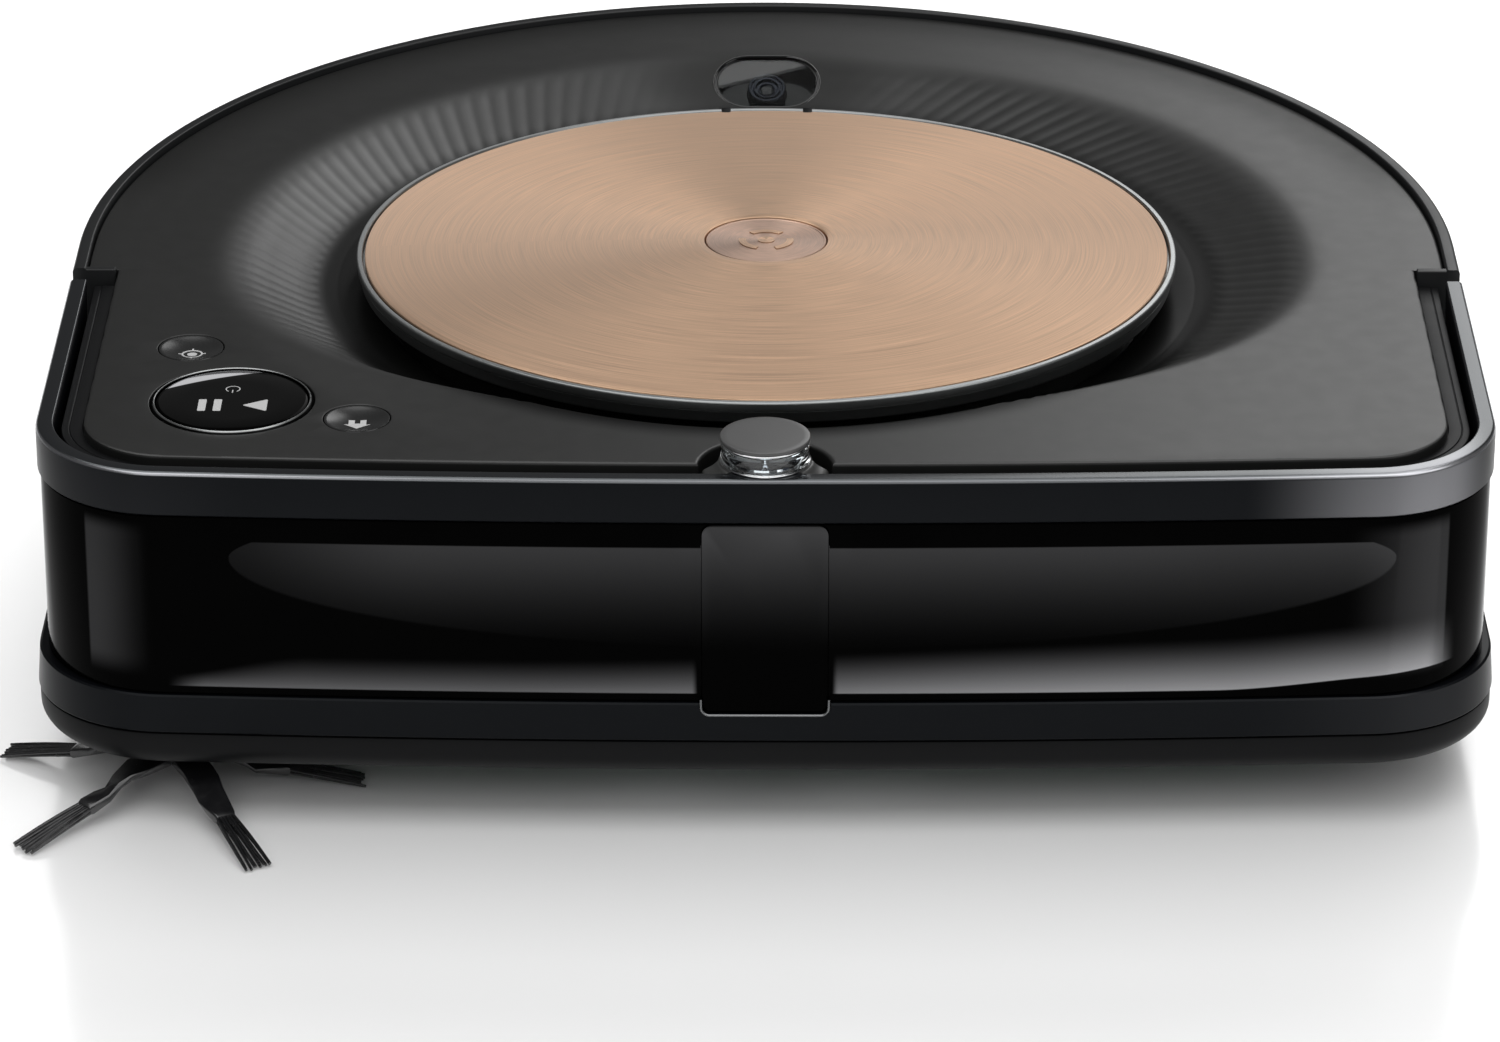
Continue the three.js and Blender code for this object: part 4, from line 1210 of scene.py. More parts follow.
def floor_rooms():
    """Cutters for everything that reaches through the base's floor."""
    below, above = -9, 9

    def room_for(node, gap_x, gap_y, radius):
        (x0, y0, _), (x1, y1, _) = span(node)
        return block(node + "_room", (x0 - gap_x, y0 - gap_y, below), (x1 + gap_x, y1 + gap_y, above), radius)

    rooms = [room_for("cleaning_head_frame", 0.6, 0.5, 2)]
    for name in ("sensor_left", "sensor_front_left", "sensor_front_right", "sensor_right"):
        rooms.append(room_for("cliff_" + name, GAP, GAP, 1))
    for side in (-1, 1):
        inner, outer = sorted((side * 99.5, side * 129))
        rooms.append(block(f"wheel_room_{side}", (inner, -37, below), (outer, 54, above), 4))
    caster_radius = span("caster_fork")[1][0] + 1
    for node, radius, steps in (("caster_fork", caster_radius, 72), ("corner_brush_motor", 4.6, 48),
                                ("floor_tracking_sensor", 10.3, 48)):
        rooms.append(rod(node + "_room", radius, below, above, steps, middle(node)[:2]))
    for side in ("left", "right"):
        rooms.append(room_for("charge_contact_" + side, GAP, GAP, 1))
    for x, y in SCREWS:
        recess = [(0, -2), (4.2, -2), (3.8, 0.0), (3.8, 1.6), (0, 1.6)]
        rooms.append(lathe(f"screw_room_{x}_{y}", recess, 40, (x, y)))
    return rooms


def base():
    """The base: a shallow tray with a round lower edge, open for everything that meets the floor."""
    section = [(40, 0)] + ellipse_edge(10, 6.2, GAP, 0)
    section += [(GAP, SEAM_Z - 0.45), (GAP + 0.1, SEAM_Z - 0.15), (GAP + 0.45, SEAM_Z)]
    section += [(4.5, SEAM_Z), (4.5, 3), (40, 3)]
    tray = sweep("base_tray", whole_track(), section, closed=True)
    fill = prism("base_floor", [tuple(p - n * 39.5) for p, n in zip(*whole_track())], 0, 3)
    join(tray, fill)
    flare_low(cut(tray, *floor_rooms()))
    finish_piece(tray, "chassis", "chassis", ["base_plate"])


# ---- lid ----------------------------------------------------------------------------------
def tilt_lid(obj):
    """Tilts a level mesh about the middle of the disc's edge plane."""
    place = Matrix.Translation((0, 0, LID_Z * MM))
    obj.data.transform(place @ Matrix.Rotation(LID_TILT, 4, "X") @ place.inverted())
    return obj


def on_lid(profile):
    """A profile whose heights are measured from the disc's edge plane."""
    return [(radius, LID_Z + height) for radius, height in profile]


def lid_notches(name):
    """Cutters for the two notches at the hinge."""
    notches = []
    for side in (-1, 1):
        inner, outer = sorted((side * 8.6, side * 10.8))
        notches.append(block(f"{name}_{side}", (inner, PIN[1] - 0.6, ROOM_LOW), (outer, 110, ROOM_HIGH), 0.6))
    return notches


def lid_ring():
    """The lid's frame: a tray with a narrow bright crest, and the hinge's boss below it."""
    underside, skirt, floor_height = -3.2, -5.0, -1.5
    inside = LID_RADIUS - 2.3
    profile = [
        (0, underside), (inside, underside), (inside, skirt + 0.2), (inside + 0.2, skirt),
        (LID_RADIUS - 1.2, skirt), (LID_RADIUS - 0.9, skirt + 0.3), (LID_RADIUS - 0.45, -2.4),
        (LID_RADIUS - 0.75, -2.2), (LID_RADIUS - 0.75, -1.95), (LID_RADIUS - 0.1, -1.75),
    ]
    profile += arc((LID_RADIUS - 0.5, -0.45), 0.5, 0, 80, 6)
    profile += [
        (DISC_RADIUS + 0.75, 0.06), (DISC_RADIUS + 0.6, -0.1), (DISC_RADIUS + 0.4, -0.5),
        (DISC_RADIUS + 0.4, floor_height), (0, floor_height),
    ]
    ring = tilt_lid(lathe("lid_ring", on_lid(profile), 256))
    room = block("hinge_room_lid", (-25.8, 84, 40), (25.8, 120, LID_Z + underside - 0.1))
    boss = lay_along_x(rod("hinge_boss", 2.9, 0, 15.8, 32), -7.9, PIN[1], PIN[2])
    pin_room = lay_along_x(rod("pin_room", 1.6, 0, 30, 24), -15, PIN[1], PIN[2])
    cut(ring, tilt_lid(room))
    join(ring, boss)
    cut(ring, pin_room, *lid_notches("ring_notch"))
    finish_piece(ring, "lid", "ring", ["lid_frame"])


def lid_disc():
    """The crowned disc, with a round opening for the badge."""
    inner = BADGE_RADIUS + GAP
    rise = 2.02
    radii = np.linspace(DISC_RADIUS - 0.5, inner + 0.35, 40)
    crown = [(r, rise * (1 - (r / DISC_RADIUS) ** 2)) for r in radii]
    profile = [(inner, -1.2), (DISC_RADIUS, -1.2), (DISC_RADIUS, -0.3), (DISC_RADIUS - 0.15, -0.06)]
    profile += crown + [(inner + 0.1, rise * 0.96 - 0.08), (inner, rise * 0.96 - 0.3)]
    disc = tilt_lid(lathe("copper_disc", on_lid(profile), 360))
    cut(disc, *lid_notches("disc_notch"))
    finish_piece(disc, "lid", "copper", ["lid_disc"])


def badge():
    """The round badge with a raised rim and a plain raised sign: a dot in a ring of three arcs."""
    top = 1.68
    radius = BADGE_RADIUS
    profile = [
        (0, -1.2), (radius, -1.2), (radius, top - 0.05), (radius - 0.12, top + 0.1),
        (radius - 0.45, top + 0.12), (radius - 0.65, top), (0, top + 0.04),
    ]
    face = tilt_lid(lathe("badge_plate", on_lid(profile), 128))
    finish_piece(face, "lid", "badge", ["lid_badge"])
    height = LID_Z + top
    sunk = height - 0.1
    pieces = []
    for k in range(3):
        start = 90 + 120 * k
        shape = ring_shape(6.2, 4.6, start - 38, start + 38, 16)
        pieces.append(prism(f"badge_arc_{k}", shape, sunk, height + 0.22))
    dot = lathe("badge_dot", [(0, sunk), (1.9, sunk), (1.9, height + 0.2), (0, height + 0.24)], 40)
    mark = tilt_lid(join(dot, *pieces))
    mark.name = "badge_sign"
    finish_piece(mark, "lid", "copper")


# ---- buttons ------------------------------------------------------------------------------
DISH_DEPTH = 1.15
MARK_RISE = 0.08  # how thick the printed signs are
DISH_RADIUS = SMALL_RADIUS - 0.35


def shifted(points, centre=(0, 0), turn=180):
    """Flat points turned and moved to a centre."""
    a = math.radians(turn)
    return [(centre[0] + x * math.cos(a) - y * math.sin(a), centre[1] + x * math.sin(a) + y * math.cos(a))
            for x, y in points]


def print_mark(name, shapes, centre, height, body):
    """Thin raised marks from several flat outlines, read from the rear of the machine."""
    parts = []
    for i, shape in enumerate(shapes):
        parts.append(prism(f"{name}_{i}", shifted(shape, centre), height, height + MARK_RISE))
    mark = join(parts[0], *parts[1:]) if len(parts) > 1 else parts[0]
    mark.name = name
    return finish_piece(mark, body, "icon")


def drape(mark, place):
    """Bends a mark down onto the dished face of a small button."""
    for vertex in mark.data.vertices:
        away = math.hypot(vertex.co.x / MM - place[0], vertex.co.y / MM - place[1])
        vertex.co.z += DISH_DEPTH * (away / DISH_RADIUS) ** 2 * MM


def ring_shape(outer, inner, start, end, steps=28):
    return arc((0, 0), outer, start, end, steps) + arc((0, 0), inner, end, start, steps)


def main_button():
    """The gloss main button, with its play, pause and power signs, in a thin bright ring."""
    low, top = span("clean_button")[0][2], span("clean_button")[1][2]
    key = lathe("main_button", [
        (0, low), (CLEAN_RADIUS, low), (CLEAN_RADIUS, top - 0.5), (CLEAN_RADIUS - 0.08, top - 0.3),
        (CLEAN_RADIUS - 0.3, top - 0.16), (CLEAN_RADIUS - 0.9, top - 0.06), (10, top - 0.01), (0, top),
    ], 128, CLEAN[:2])
    finish_piece(key, "clean_key", "key", ["clean_button"])
    outer, ring_top = RING_OUTER, span("clean_button_ring")[1][2]
    ring = lathe("main_button_ring", [
        (outer - 0.9, 66), (outer, 66), (outer, ring_top - 1.0), (outer - 0.45, ring_top - 0.6),
        (outer - 0.55, ring_top - 0.3), (outer - 0.68, ring_top - 0.2), (outer - 0.84, ring_top - 0.3),
        (outer - 0.9, ring_top - 0.5),
    ], 192, CLEAN[:2], 50)
    finish_piece(ring, "chassis", "rim_chrome", ["clean_button_ring"])
    play = rounded([(-7.4, -3.1), (-2.0, 0), (-7.4, 3.1)], 0.3, 3)
    bars = [rounded(oblong(x, -3.0, x + 1.7, 3.0), 0.25, 2) for x in (2.4, 5.7)]
    sunk = top - 0.03
    print_mark("main_button_sign", [play] + bars, (CLEAN[0] + 0.3, CLEAN[1] - 3.0), sunk, "clean_key")
    power = [ring_shape(1.6, 1.38, 125, 415), oblong(-0.12, 0.5, 0.12, 1.9)]
    print_mark("power_sign", power, (CLEAN[0] - 0.2, CLEAN[1] + 5.5), sunk, "clean_key")


def small_button(name, node, body, place):
    """A small dished button. Gives back the height of the dish's middle."""
    low, high = span(node)[0][2], span(node)[1][2]
    profile = [(0, low), (SMALL_RADIUS, low), (SMALL_RADIUS, high - 0.25), (SMALL_RADIUS - 0.12, high - 0.06)]
    profile += [(DISH_RADIUS, high - 0.02)]
    profile += [(r, high - DISH_DEPTH * (1 - (r / DISH_RADIUS) ** 2)) for r in np.linspace(6.4, 0.0, 16)]
    cap = lathe(name, profile, 72, place[:2])
    finish_piece(cap, body, "dish", [node])
    return high - DISH_DEPTH


def buttons():
    main_button()
    dish = small_button("spot_button_cap", "spot_button", "spot_key", SPOT)
    small_button("home_button_cap", "home_button", "home_key", HOME)
    target = [ring_shape(2.35, 1.95, 0, 359.9), arc((0, 0), 1.1, 0, 345, 23)]
    target += [shifted(oblong(2.3, -0.2, 3.0, 0.2), turn=90 * k) for k in range(4)]
    drape(print_mark("spot_sign", target, (SPOT[0] + 0.3, SPOT[1] - 1.4), dish, "spot_key"), SPOT)
    house = [(-2.85, 0.1), (-1.9, 0.1), (-1.9, -2.4), (-0.6, -2.4), (-0.6, -0.8)]
    house += [(-x, y) for x, y in reversed(house)] + [(0, 2.6)]
    drape(print_mark("home_sign", [house], (HOME[0] + 0.1, HOME[1] - 1.3), dish, "home_key"), HOME)


# ---- camera -------------------------------------------------------------------------------
def camera():
    """A thin bezel, a barrel of stepped rings with a domed lens, and the dark window over it."""
    bezel = camera_loft("camera_frame", [
        (0.7, -5), (0.7, 0.1), (0.6, 0.35), (0.3, 0.5), (-0.1, 0.55), (-0.35, 0.4), (-0.45, 0.1),
    ])
    well = camera_loft("camera_well", [(-0.9, -4.2), (-0.9, 8)])
    bore = to_camera(rod("camera_bore", 4.9, -8, 4))
    cut(bezel, well, bore)
    finish_piece(bezel, "chassis", "gloss", ["camera_bezel"])
    bead = camera_loft("camera_bead", [(0.75, 0.15), (1.0, 0.25), (1.0, 0.45), (0.75, 0.55)])
    cut(bead, camera_loft("camera_bead_room", [(0.7, -1), (0.7, 2)]))
    finish_piece(bead, "chassis", "bead")
    barrel = to_camera(lathe("camera_barrel", [
        (0, -5.4), (4.6, -5.4), (4.6, -2.0), (4.3, -1.6), (3.9, -1.6), (3.7, -2.1), (3.3, -2.2), (3.1, -1.7),
        (2.8, -1.7), (2.6, -2.5), (2.1, -2.6), (2.0, -2.3), (0, -2.3),
    ]))
    finish_piece(barrel, "chassis", "lens_black", ["camera_lens"])
    dome = [(0, -2.25), (1.85, -2.25)] + [(r, -1.65 - 0.17 * r * r) for r in np.linspace(1.85, 0.0, 9)]
    finish_piece(to_camera(lathe("camera_lens_dome", dome, 64)), "chassis", "lens_glass")
    glass = camera_loft("camera_glass", [(-1.3, -0.3), (-1.3, 0.15), (-1.5, 0.3), (-2.0, 0.35)])
    finish_piece(glass, "chassis", "lens_window", ["camera_window"])


# ---- corner brush -------------------------------------------------------------------------
# Each arm of the brush: its direction in degrees and its length as a share.
BRUSH_ARMS = ((2, 0.96), (81, 1.0), (159, 1.0), (225, 1.05), (297, 1.05))
# Along an arm: place, height, half width, half thickness and roll in degrees.
RIBBON = (
    (4.6, -3.3, 3.5, 0.9, 0), (11, -3.5, 3.5, 0.8, 0), (15, -4.4, 3.3, 0.75, 20), (17.5, -5.9, 3.1, 0.75, 32),
    (20.5, -6.9, 2.9, 0.9, 12), (24.4, -7.7, 2.4, 1.15, 0), (25.2, -7.9, 2.1, 0.9, 0),
)
STRANDS = 12
STRAND_START = 23.6
STRAND_REACH = 42.2


def ribbon_arm(name):
    """A flat rubber arm that leaves the hub, folds down and grips the bristles."""
    outlines = []
    for x, z, half, thick, roll in RIBBON:
        section = rounded(oblong(-half, -thick, half, thick), thick * 0.45, 3)
        outlines.append([(x, y, z + w) for y, w in shifted(section, turn=roll)])
    return loft(name, outlines, 35)


def strand(name, index, rng):
    """One thick bristle from the arm's end to the floor."""
    row, column = divmod(index, STRANDS // 2)
    spread = (column - 2.5) / 2.5
    sway = 0.14 if index % 2 else -0.14
    tip = STRAND_REACH - rng.uniform(0, 1.4)
    path = []
    for t in np.linspace(0, 1, 7):
        bend = math.sin(math.pi * t)
        x = STRAND_START + (tip - STRAND_START) * t
        y = spread * (1.75 + t) + sway * bend
        z = -7.7 - 3.5 * t + (0.45 - 0.9 * row) * (1 - 0.6 * t) + 0.2 * bend
        path.append((x, y, z))
    return tube(name, path, np.linspace(0.36, 0.31, len(path)), 7)


def corner_brush():
    """Five folded rubber ribbons with a tuft of thick strands each."""
    hub_place = middle("corner_brush_motor")
    profile = [(0, -3.7), (5.4, -3.7), (6.0, -3.3), (6.2, -2.0), (5.8, -1.3), (4, -1.2), (4, 9), (0, 9)]
    hub = lathe("brush_hub", profile, 64, hub_place[:2])
    rng = np.random.default_rng(7)
    place = Matrix.Translation(Vector((hub_place[0], hub_place[1], 0)) * MM)
    ribbons = []
    for i, (angle, length) in enumerate(BRUSH_ARMS):
        turn = place @ Matrix.Rotation(math.radians(angle), 4, "Z") @ Matrix.Scale(length, 4, (1, 0, 0))
        ribbon = ribbon_arm(f"ribbon_{i}")
        ribbon.data.transform(turn)
        ribbons.append(ribbon)
        strands = [strand(f"strand_{i}_{k}", k, rng) for k in range(STRANDS)]
        tuft = strands[0]
        with bpy.context.temp_override(active_object=tuft, selected_editable_objects=strands):
            bpy.ops.object.join()
        tuft.data.transform(turn)
        shade(tuft.data, 50)
        tuft.name = f"bristle_tuft_{i + 1}"
        finish_piece(tuft, "corner_brush", "bristle", [f"brush_tuft_{i + 1}"])
    join(hub, *ribbons, angle=35)
    finish_piece(hub, "corner_brush", "ribbon", ["corner_brush_hub"])


# ---- wheels and rollers -------------------------------------------------------------------
def treaded(name, section, teeth, depth, skew=0.0, steps=240, angle=35):
    """A turned ring with grooves. Each section point is (radius, place along the axis, groove share)."""
    section = np.array(section, float)
    turns = np.arange(steps) * 2 * math.pi / steps
    along = section[:, 1]
    half = (along.max() - along.min()) / 2
    lead = skew * np.abs(along - along.min() - half) / half
    wave = np.cos(teeth * turns[:, None] + lead[None, :])
    groove = smooth_step(wave, 0.1, 0.6)
    radius = section[None, :, 0] - depth * section[None, :, 2] * groove
    return turned(name, radius, along, steps, (0, 0), section[0][0] > 1e-6, angle)


def mirrored(obj):
    """The same solid on the other side of the machine."""
    obj.data.transform(Matrix.Scale(-1, 4, (1, 0, 0)))
    obj.data.flip_normals()
    return obj


TYRE_LOW, TYRE_HIGH = span("tyre_right")
TYRE_RADIUS = (TYRE_HIGH[2] - TYRE_LOW[2]) / 2
TYRE_WIDTH = TYRE_HIGH[0] - TYRE_LOW[0]
AXLE_Z = (TYRE_HIGH[2] + TYRE_LOW[2]) / 2
AXLE_START = 101
RIM_RADIUS = TYRE_RADIUS - 7


def tyre(side, suffix):
    """A rubber tyre with slanted tread blocks that meet in the middle."""
    edge = TYRE_WIDTH - 1.2
    section = [(RIM_RADIUS + 0.1, 0.2, 0), (TYRE_RADIUS - 1.6, 0, 0), (TYRE_RADIUS - 0.7, 0.3, 0.4)]
    section += [(TYRE_RADIUS, x, 1) for x in np.linspace(1.2, edge, 13)]
    section += [(TYRE_RADIUS - 0.7, TYRE_WIDTH - 0.3, 0.4), (TYRE_RADIUS - 1.6, TYRE_WIDTH, 0),
                (RIM_RADIUS + 0.1, TYRE_WIDTH - 0.2, 0)]
    ring = lay_along_x(treaded(f"drive_tyre_{suffix}", section, 26, 1.7, 2.6, 312), TYRE_LOW[0], 0, AXLE_Z)
    if side < 0:
        mirrored(ring)
    finish_piece(ring, f"wheel_{suffix}", "rubber", [f"tyre_{suffix}"])


def wheel_hub(side, suffix):
    """The wheel's centre: a dished face with six round holes, a boss and the axle."""
    inner = TYRE_LOW[0]
    face = TYRE_WIDTH - 1.5
    rim = RIM_RADIUS - 0.3
    axle = AXLE_START - inner
    body = lathe(f"drive_hub_{suffix}", [
        (0, axle), (4, axle), (4, 0.5), (rim - 0.4, 0.5), (rim, 0.9), (rim, face - 0.4), (rim - 0.4, face),
        (rim - 2.6, face), (rim - 3.4, face - 0.8), (rim - 4.2, face - 3.4), (9.4, face - 3.4),
        (8.2, face - 2.8), (7.9, face - 0.8), (7.2, face - 0.4), (0, face - 0.4),
    ], 120)
    places = arc((0, 0), 14.6, 0, 300, 5)
    cut(body, *[rod(f"hub_hole_{k}", 3.4, face - 6, face + 2, 32, place) for k, place in enumerate(places)])
    lay_along_x(body, inner, 0, AXLE_Z)
    if side < 0:
        mirrored(body)
    finish_piece(body, f"wheel_{suffix}", "chassis", [f"wheel_hub_{suffix}"])


def roller(node, body, skew):
    """A soft roller with wide fins that meet in a V at its middle."""
    low, high = span(node)
    radius = (high[2] - low[2]) / 2
    start, end = low[0] + 5.0, high[0] - 6.0
    length = end - start
    near_end = [(0, -5, 0), (3, -5, 0), (3, -0.2, 0), (9.5, 0, 0), (radius - 1.0, 0.4, 0)]
    fins = [(radius, x, 1) for x in np.linspace(2.0, length - 2.0, 61)]
    far_end = [(radius - 1.0, length - 0.4, 0), (9.5, length, 0), (3, length + 0.2, 0), (3, length + 6, 0),
               (0, length + 6, 0)]
    core = treaded(f"{node}_fins", near_end + fins + far_end, 8, 4.2, skew, 192, 40)
    lay_along_x(core, start, *middle(node)[1:])
    finish_piece(core, body, "roller", [node])


def caster_roll():
    """The caster's wheel: a round-edged tyre with fine grooves and a hub line on each side."""
    low, high = span("caster_wheel")
    radius = (high[2] - low[2]) / 2
    width = high[0] - low[0]
    section = [(1.8, 0.4, 0), (6.4, 0.4, 0), (6.8, 0.0, 0), (radius - 1.6, 0.0, 0), (radius - 0.5, 0.5, 0.4)]
    section += [(radius, x, 1) for x in np.linspace(1.6, width - 1.6, 7)]
    section += [(radius - 0.5, width - 0.5, 0.4), (radius - 1.6, width, 0), (6.8, width, 0)]
    section += [(6.4, width - 0.4, 0), (1.8, width - 0.4, 0)]
    wheel = treaded("caster_roll", section, 30, 0.35)
    lay_along_x(wheel, low[0], *middle("caster_wheel")[1:])
    finish_piece(wheel, "caster_roll", "rubber", ["caster_wheel"])


# ---- inside -------------------------------------------------------------------------------
def filter_block():
    """Pleated paper in a thin frame."""
    low, high = span("bin_filter")
    folds = 26
    points = []
    for i, x in enumerate(np.linspace(low[0] + 1.5, high[0] - 1.5, folds + 1)):
        points.append((x, high[2] - (0.5 if i % 2 else 3.6)))
    outline = points + [(high[0] - 1.5, low[2] + 0.5), (low[0] + 1.5, low[2] + 0.5)]
    pleats = plate("filter_pleats", outline, low[1] + 1.5, high[1] - 1.5, 20)
    finish_piece(pleats, "bin", "paper", ["bin_filter"])
    rim = soft_block("filter_frame", low, high, 1.5, 0.4)
    inset = np.array((1.6, 1.6, -2))
    cut(rim, block("filter_frame_room", low + inset, high - inset, 0.6))
    finish_piece(rim, "bin", "chassis")


BLADES = 11


def fan_blade(k):
    """One thin upright blade, swept back and falling towards its tip."""
    front, back = [], []
    for t in np.linspace(0, 1, 10):
        radius = 5.4 + 16 * t
        a = 2 * math.pi * k / BLADES - 0.9 * t
        lean = 0.55 / radius
        top = 31.4 - 3.4 * t
        front.append((radius * math.cos(a - lean), radius * math.sin(a - lean), top))
        back.append((radius * math.cos(a + lean), radius * math.sin(a + lean), top))
    ring = front + back[::-1]
    return loft(f"blade_{k}", [[(x, y, 17.0) for x, y, top in ring], ring])


def fan():
    """The impeller: a plate with swept blades round a rounded hub."""
    rotor = lathe("fan_rotor", [
        (0, 16), (21.8, 16), (22, 16.2), (22, 17.2), (21.6, 17.5), (11, 18.2), (7.6, 21), (6.4, 27),
        (5.8, 32), (4.4, 33.6), (2.2, 34), (0, 34),
    ], 128)
    join(rotor, *[fan_blade(k) for k in range(BLADES)])
    x, y, _ = middle("fan_impeller") * MM
    rotor.data.transform(Matrix.Translation((x, y, 0)))
    finish_piece(rotor, "impeller", "bin", ["fan_impeller"])


# ---- the remaining parts ------------------------------------------------------------------
# Nodes that keep their own shape, by their look and a slot name.
REFINED = {
    ("chassis", "chassis_plastic"): (
        "bin_well", "lid_hinge_bracket", "battery_pack", "wheel_housing_left", "wheel_housing_right",
        "fan_housing", "roller_gearbox",
    ),
    ("board", "board"): ("circuit_board",),
    ("steel", "steel"): ("charge_contact_left", "charge_contact_right", "lid_hinge_pin", "caster_axle"),
    ("steel", "chassis_plastic"): ("corner_brush_motor",),
    ("gloss", "gloss_window"): (
        "cliff_sensor_left", "cliff_sensor_front_left", "cliff_sensor_front_right", "cliff_sensor_right",
        "floor_tracking_sensor",
    ),
    ("bin", "bin_plastic"): ("dust_bin", "bin_door"),
    ("handle", "handle_plastic"): ("bin_handle",),
    ("handle", "chassis_plastic"): ("cleaning_head_frame",),
    ("band", "satin_plastic"): ("wheel_arm_left", "wheel_arm_right"),
    ("foot", "satin_plastic"): ("caster_fork",),
}


def refined(node, look, width=0.4):
    """A node's own shape, welded, with small rounded edges and smooth curves."""
    source = frame["nodes"][node]
    work = bmesh.new()
    work.from_mesh(source.data)
    bmesh.ops.remove_doubles(work, verts=work.verts, dist=WELD)
    bmesh.ops.dissolve_limit(work, angle_limit=math.radians(0.5), verts=work.verts, edges=work.edges)
    mesh = bpy.data.meshes.new("fine_" + node)
    work.to_mesh(mesh)
    work.free()
    obj = placed("fine_" + node, mesh)
    bevel = obj.modifiers.new("edges", "BEVEL")
    bevel.width = width * MM
    bevel.segments = 2
    bevel.limit_method = "ANGLE"
    bevel.angle_limit = math.radians(40)
    apply_modifiers(obj, 30)
    finish_piece(obj, source["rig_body"], look, [node])


def screws():
    """The screws in the base, each in its own recess."""
    for i, (x, y) in enumerate(SCREWS):
        head = lathe(f"screw_{i}", [(0, 1.55), (3.2, 1.55), (3.2, 0.7), (2.9, 0.35), (0, 0.3)], 40, (x, y))
        slots = []
        for k, (wide, deep) in enumerate(((0.35, 1.7), (1.7, 0.35))):
            slots.append(block(f"screw_slot_{i}_{k}", (x - wide, y - deep, -1), (x + wide, y + deep, 1)))
        cut(head, join(*slots))
        finish_piece(head, "chassis", "steel")


def insides():
    for side, suffix in ((-1, "left"), (1, "right")):
        tyre(side, suffix)
        wheel_hub(side, suffix)
    roller("roller_front", "front_roller", 3.4)
    roller("roller_rear", "rear_roller", -3.4)
    caster_roll()
    filter_block()
    fan()
    screws()
    for (look, slot), nodes in REFINED.items():
        for node in nodes:
            refined(node, look)


# ---- studio -------------------------------------------------------------------------------
FLOOR_HALF = 6000
WORLD_STRENGTH = 0.10
LID_PIECES = ["copper_disc", "badge_plate", "badge_sign"]
LID_MIDDLE = (0, 0, 0.07)
# Each light, in metres and watts: name, place, target, size, power, what it lights, and what it spares.
LIGHTS = (
    ("overhead", (0, -0.1, 1.6), (0, 0, 0), (2.2, 2.2), 30, [], LID_PIECES),
    ("rear_card", (0.42, 1.3, 0.85), LID_MIDDLE, (0.65, 0.95), 3.9, [], LID_PIECES),
    ("right_front", (0.9, -0.7, 0.6), (0.1, -0.1, 0.05), (0.8, 0.8), 3, [], LID_PIECES),
    ("front_fill", (-0.3, -1.6, 0.9), (0, 0, 0), (1.4, 1.0), 5, [], LID_PIECES),
    ("floor_card", (0, 2.2, 1.3), (0, -0.2, 0), (3.6, 1.8), 44, ["floor"], []),
    ("floor_front", (0, -1.6, 1.4), (0, -0.3, 0), (2.0, 1.0), 5, ["floor"], []),
    ("lid_sky", (0.30, 1.5, 0.5), LID_MIDDLE, (2.0, 0.7), 3.1, LID_PIECES + ["lid_ring"], []),
    ("lid_right", (0.64, 0.96, 1.1), LID_MIDDLE, (0.8, 0.8), 3.0, LID_PIECES, []),
    ("lid_left", (-0.5, 0.7, 1.36), LID_MIDDLE, (0.8, 0.8), 3.5, LID_PIECES, []),
    ("lid_top", (0.1, -0.1, 1.6), LID_MIDDLE, (2.0, 2.0), 19.0, LID_PIECES, []),
    ("key_card", (-0.15, 1.35, 0.72), (-0.115, -0.06, 0.07), (0.9, 0.5), 0.8,
     ["main_button", "main_button_ring"], []),
)
CAMERA_PITCH = math.radians(24.937)
CAMERA_YAW = math.radians(-0.223)
CAMERA_TARGET = (-3.675, 4.826, 0)
CAMERA_DISTANCE = 1543.8
CAMERA_LENS = 160.3
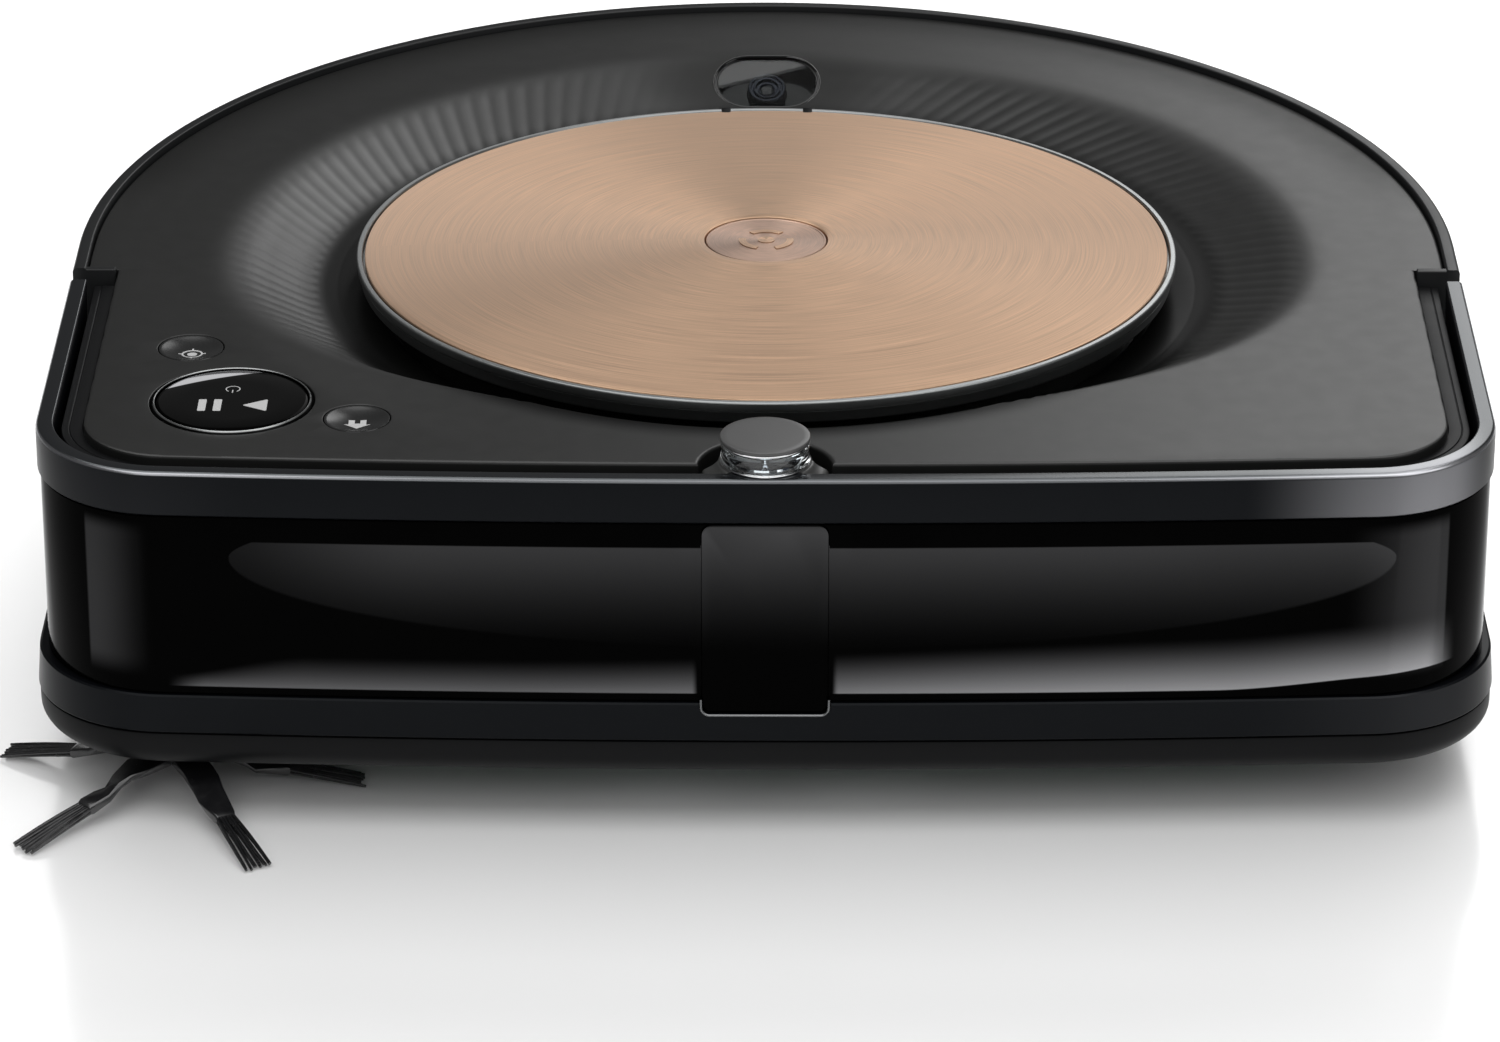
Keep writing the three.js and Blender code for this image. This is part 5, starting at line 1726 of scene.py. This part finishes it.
CAMERA_SENSOR = 36


def floor():
    half = FLOOR_HALF
    obj = prism("floor", oblong(-half, -half, half, half), FLOOR_Z - 20, FLOOR_Z - 0.02)
    graph = Graph("floor_white")
    obj.data.materials.append(graph.principled(
        Base_Color=graph.blend(graph.noise(60, 2), grey(0.86), grey(0.875)),
        Roughness=0.17,
        Specular_IOR_Level=0.6,
    ))


def aim(obj, place, direction):
    obj.location = place
    obj.rotation_euler = direction.to_track_quat("-Z", "Y").to_euler()


def area_light(name, place, target, size, power):
    light = bpy.data.lights.new(name, "AREA")
    light.shape = "RECTANGLE"
    light.size, light.size_y = size
    light.energy = power
    obj = placed(name, light)
    aim(obj, place, Vector(target) - Vector(place))
    obj.visible_camera = False
    return obj


def link_light(light, lit, spared):
    """Limits a light to the lit objects, or keeps it off the spared ones."""
    group = bpy.data.collections.new(light.name + "_targets")
    for name in lit + spared:
        group.objects.link(bpy.data.objects[name])
    if spared:
        for link in group.collection_objects:
            link.light_linking.link_state = "EXCLUDE"
    light.light_linking.receiver_collection = group


def studio():
    scene = bpy.context.scene
    scene.world = bpy.data.worlds.new("studio")
    scene.world.use_nodes = True
    background = scene.world.node_tree.nodes["Background"]
    background.inputs["Color"].default_value = (1, 1, 1, 1)
    background.inputs["Strength"].default_value = WORLD_STRENGTH
    for *values, lit, spared in LIGHTS:
        link_light(area_light(*values), lit, spared)
    scene.view_settings.view_transform = "Standard"


def camera_view():
    level = math.cos(CAMERA_PITCH)
    forward = Vector((math.sin(CAMERA_YAW) * level, math.cos(CAMERA_YAW) * level, -math.sin(CAMERA_PITCH)))
    data = bpy.data.cameras.new("view")
    data.lens = CAMERA_LENS
    data.sensor_width = CAMERA_SENSOR
    view = placed("view", data)
    aim(view, (Vector(CAMERA_TARGET) - forward * CAMERA_DISTANCE) * MM, forward)
    bpy.context.scene.camera = view


bumper()
deck()
rear_shell()
mid_frame()
base()
lid_ring()
lid_disc()
badge()
buttons()
camera()
corner_brush()
insides()
floor()
studio()
camera_view()
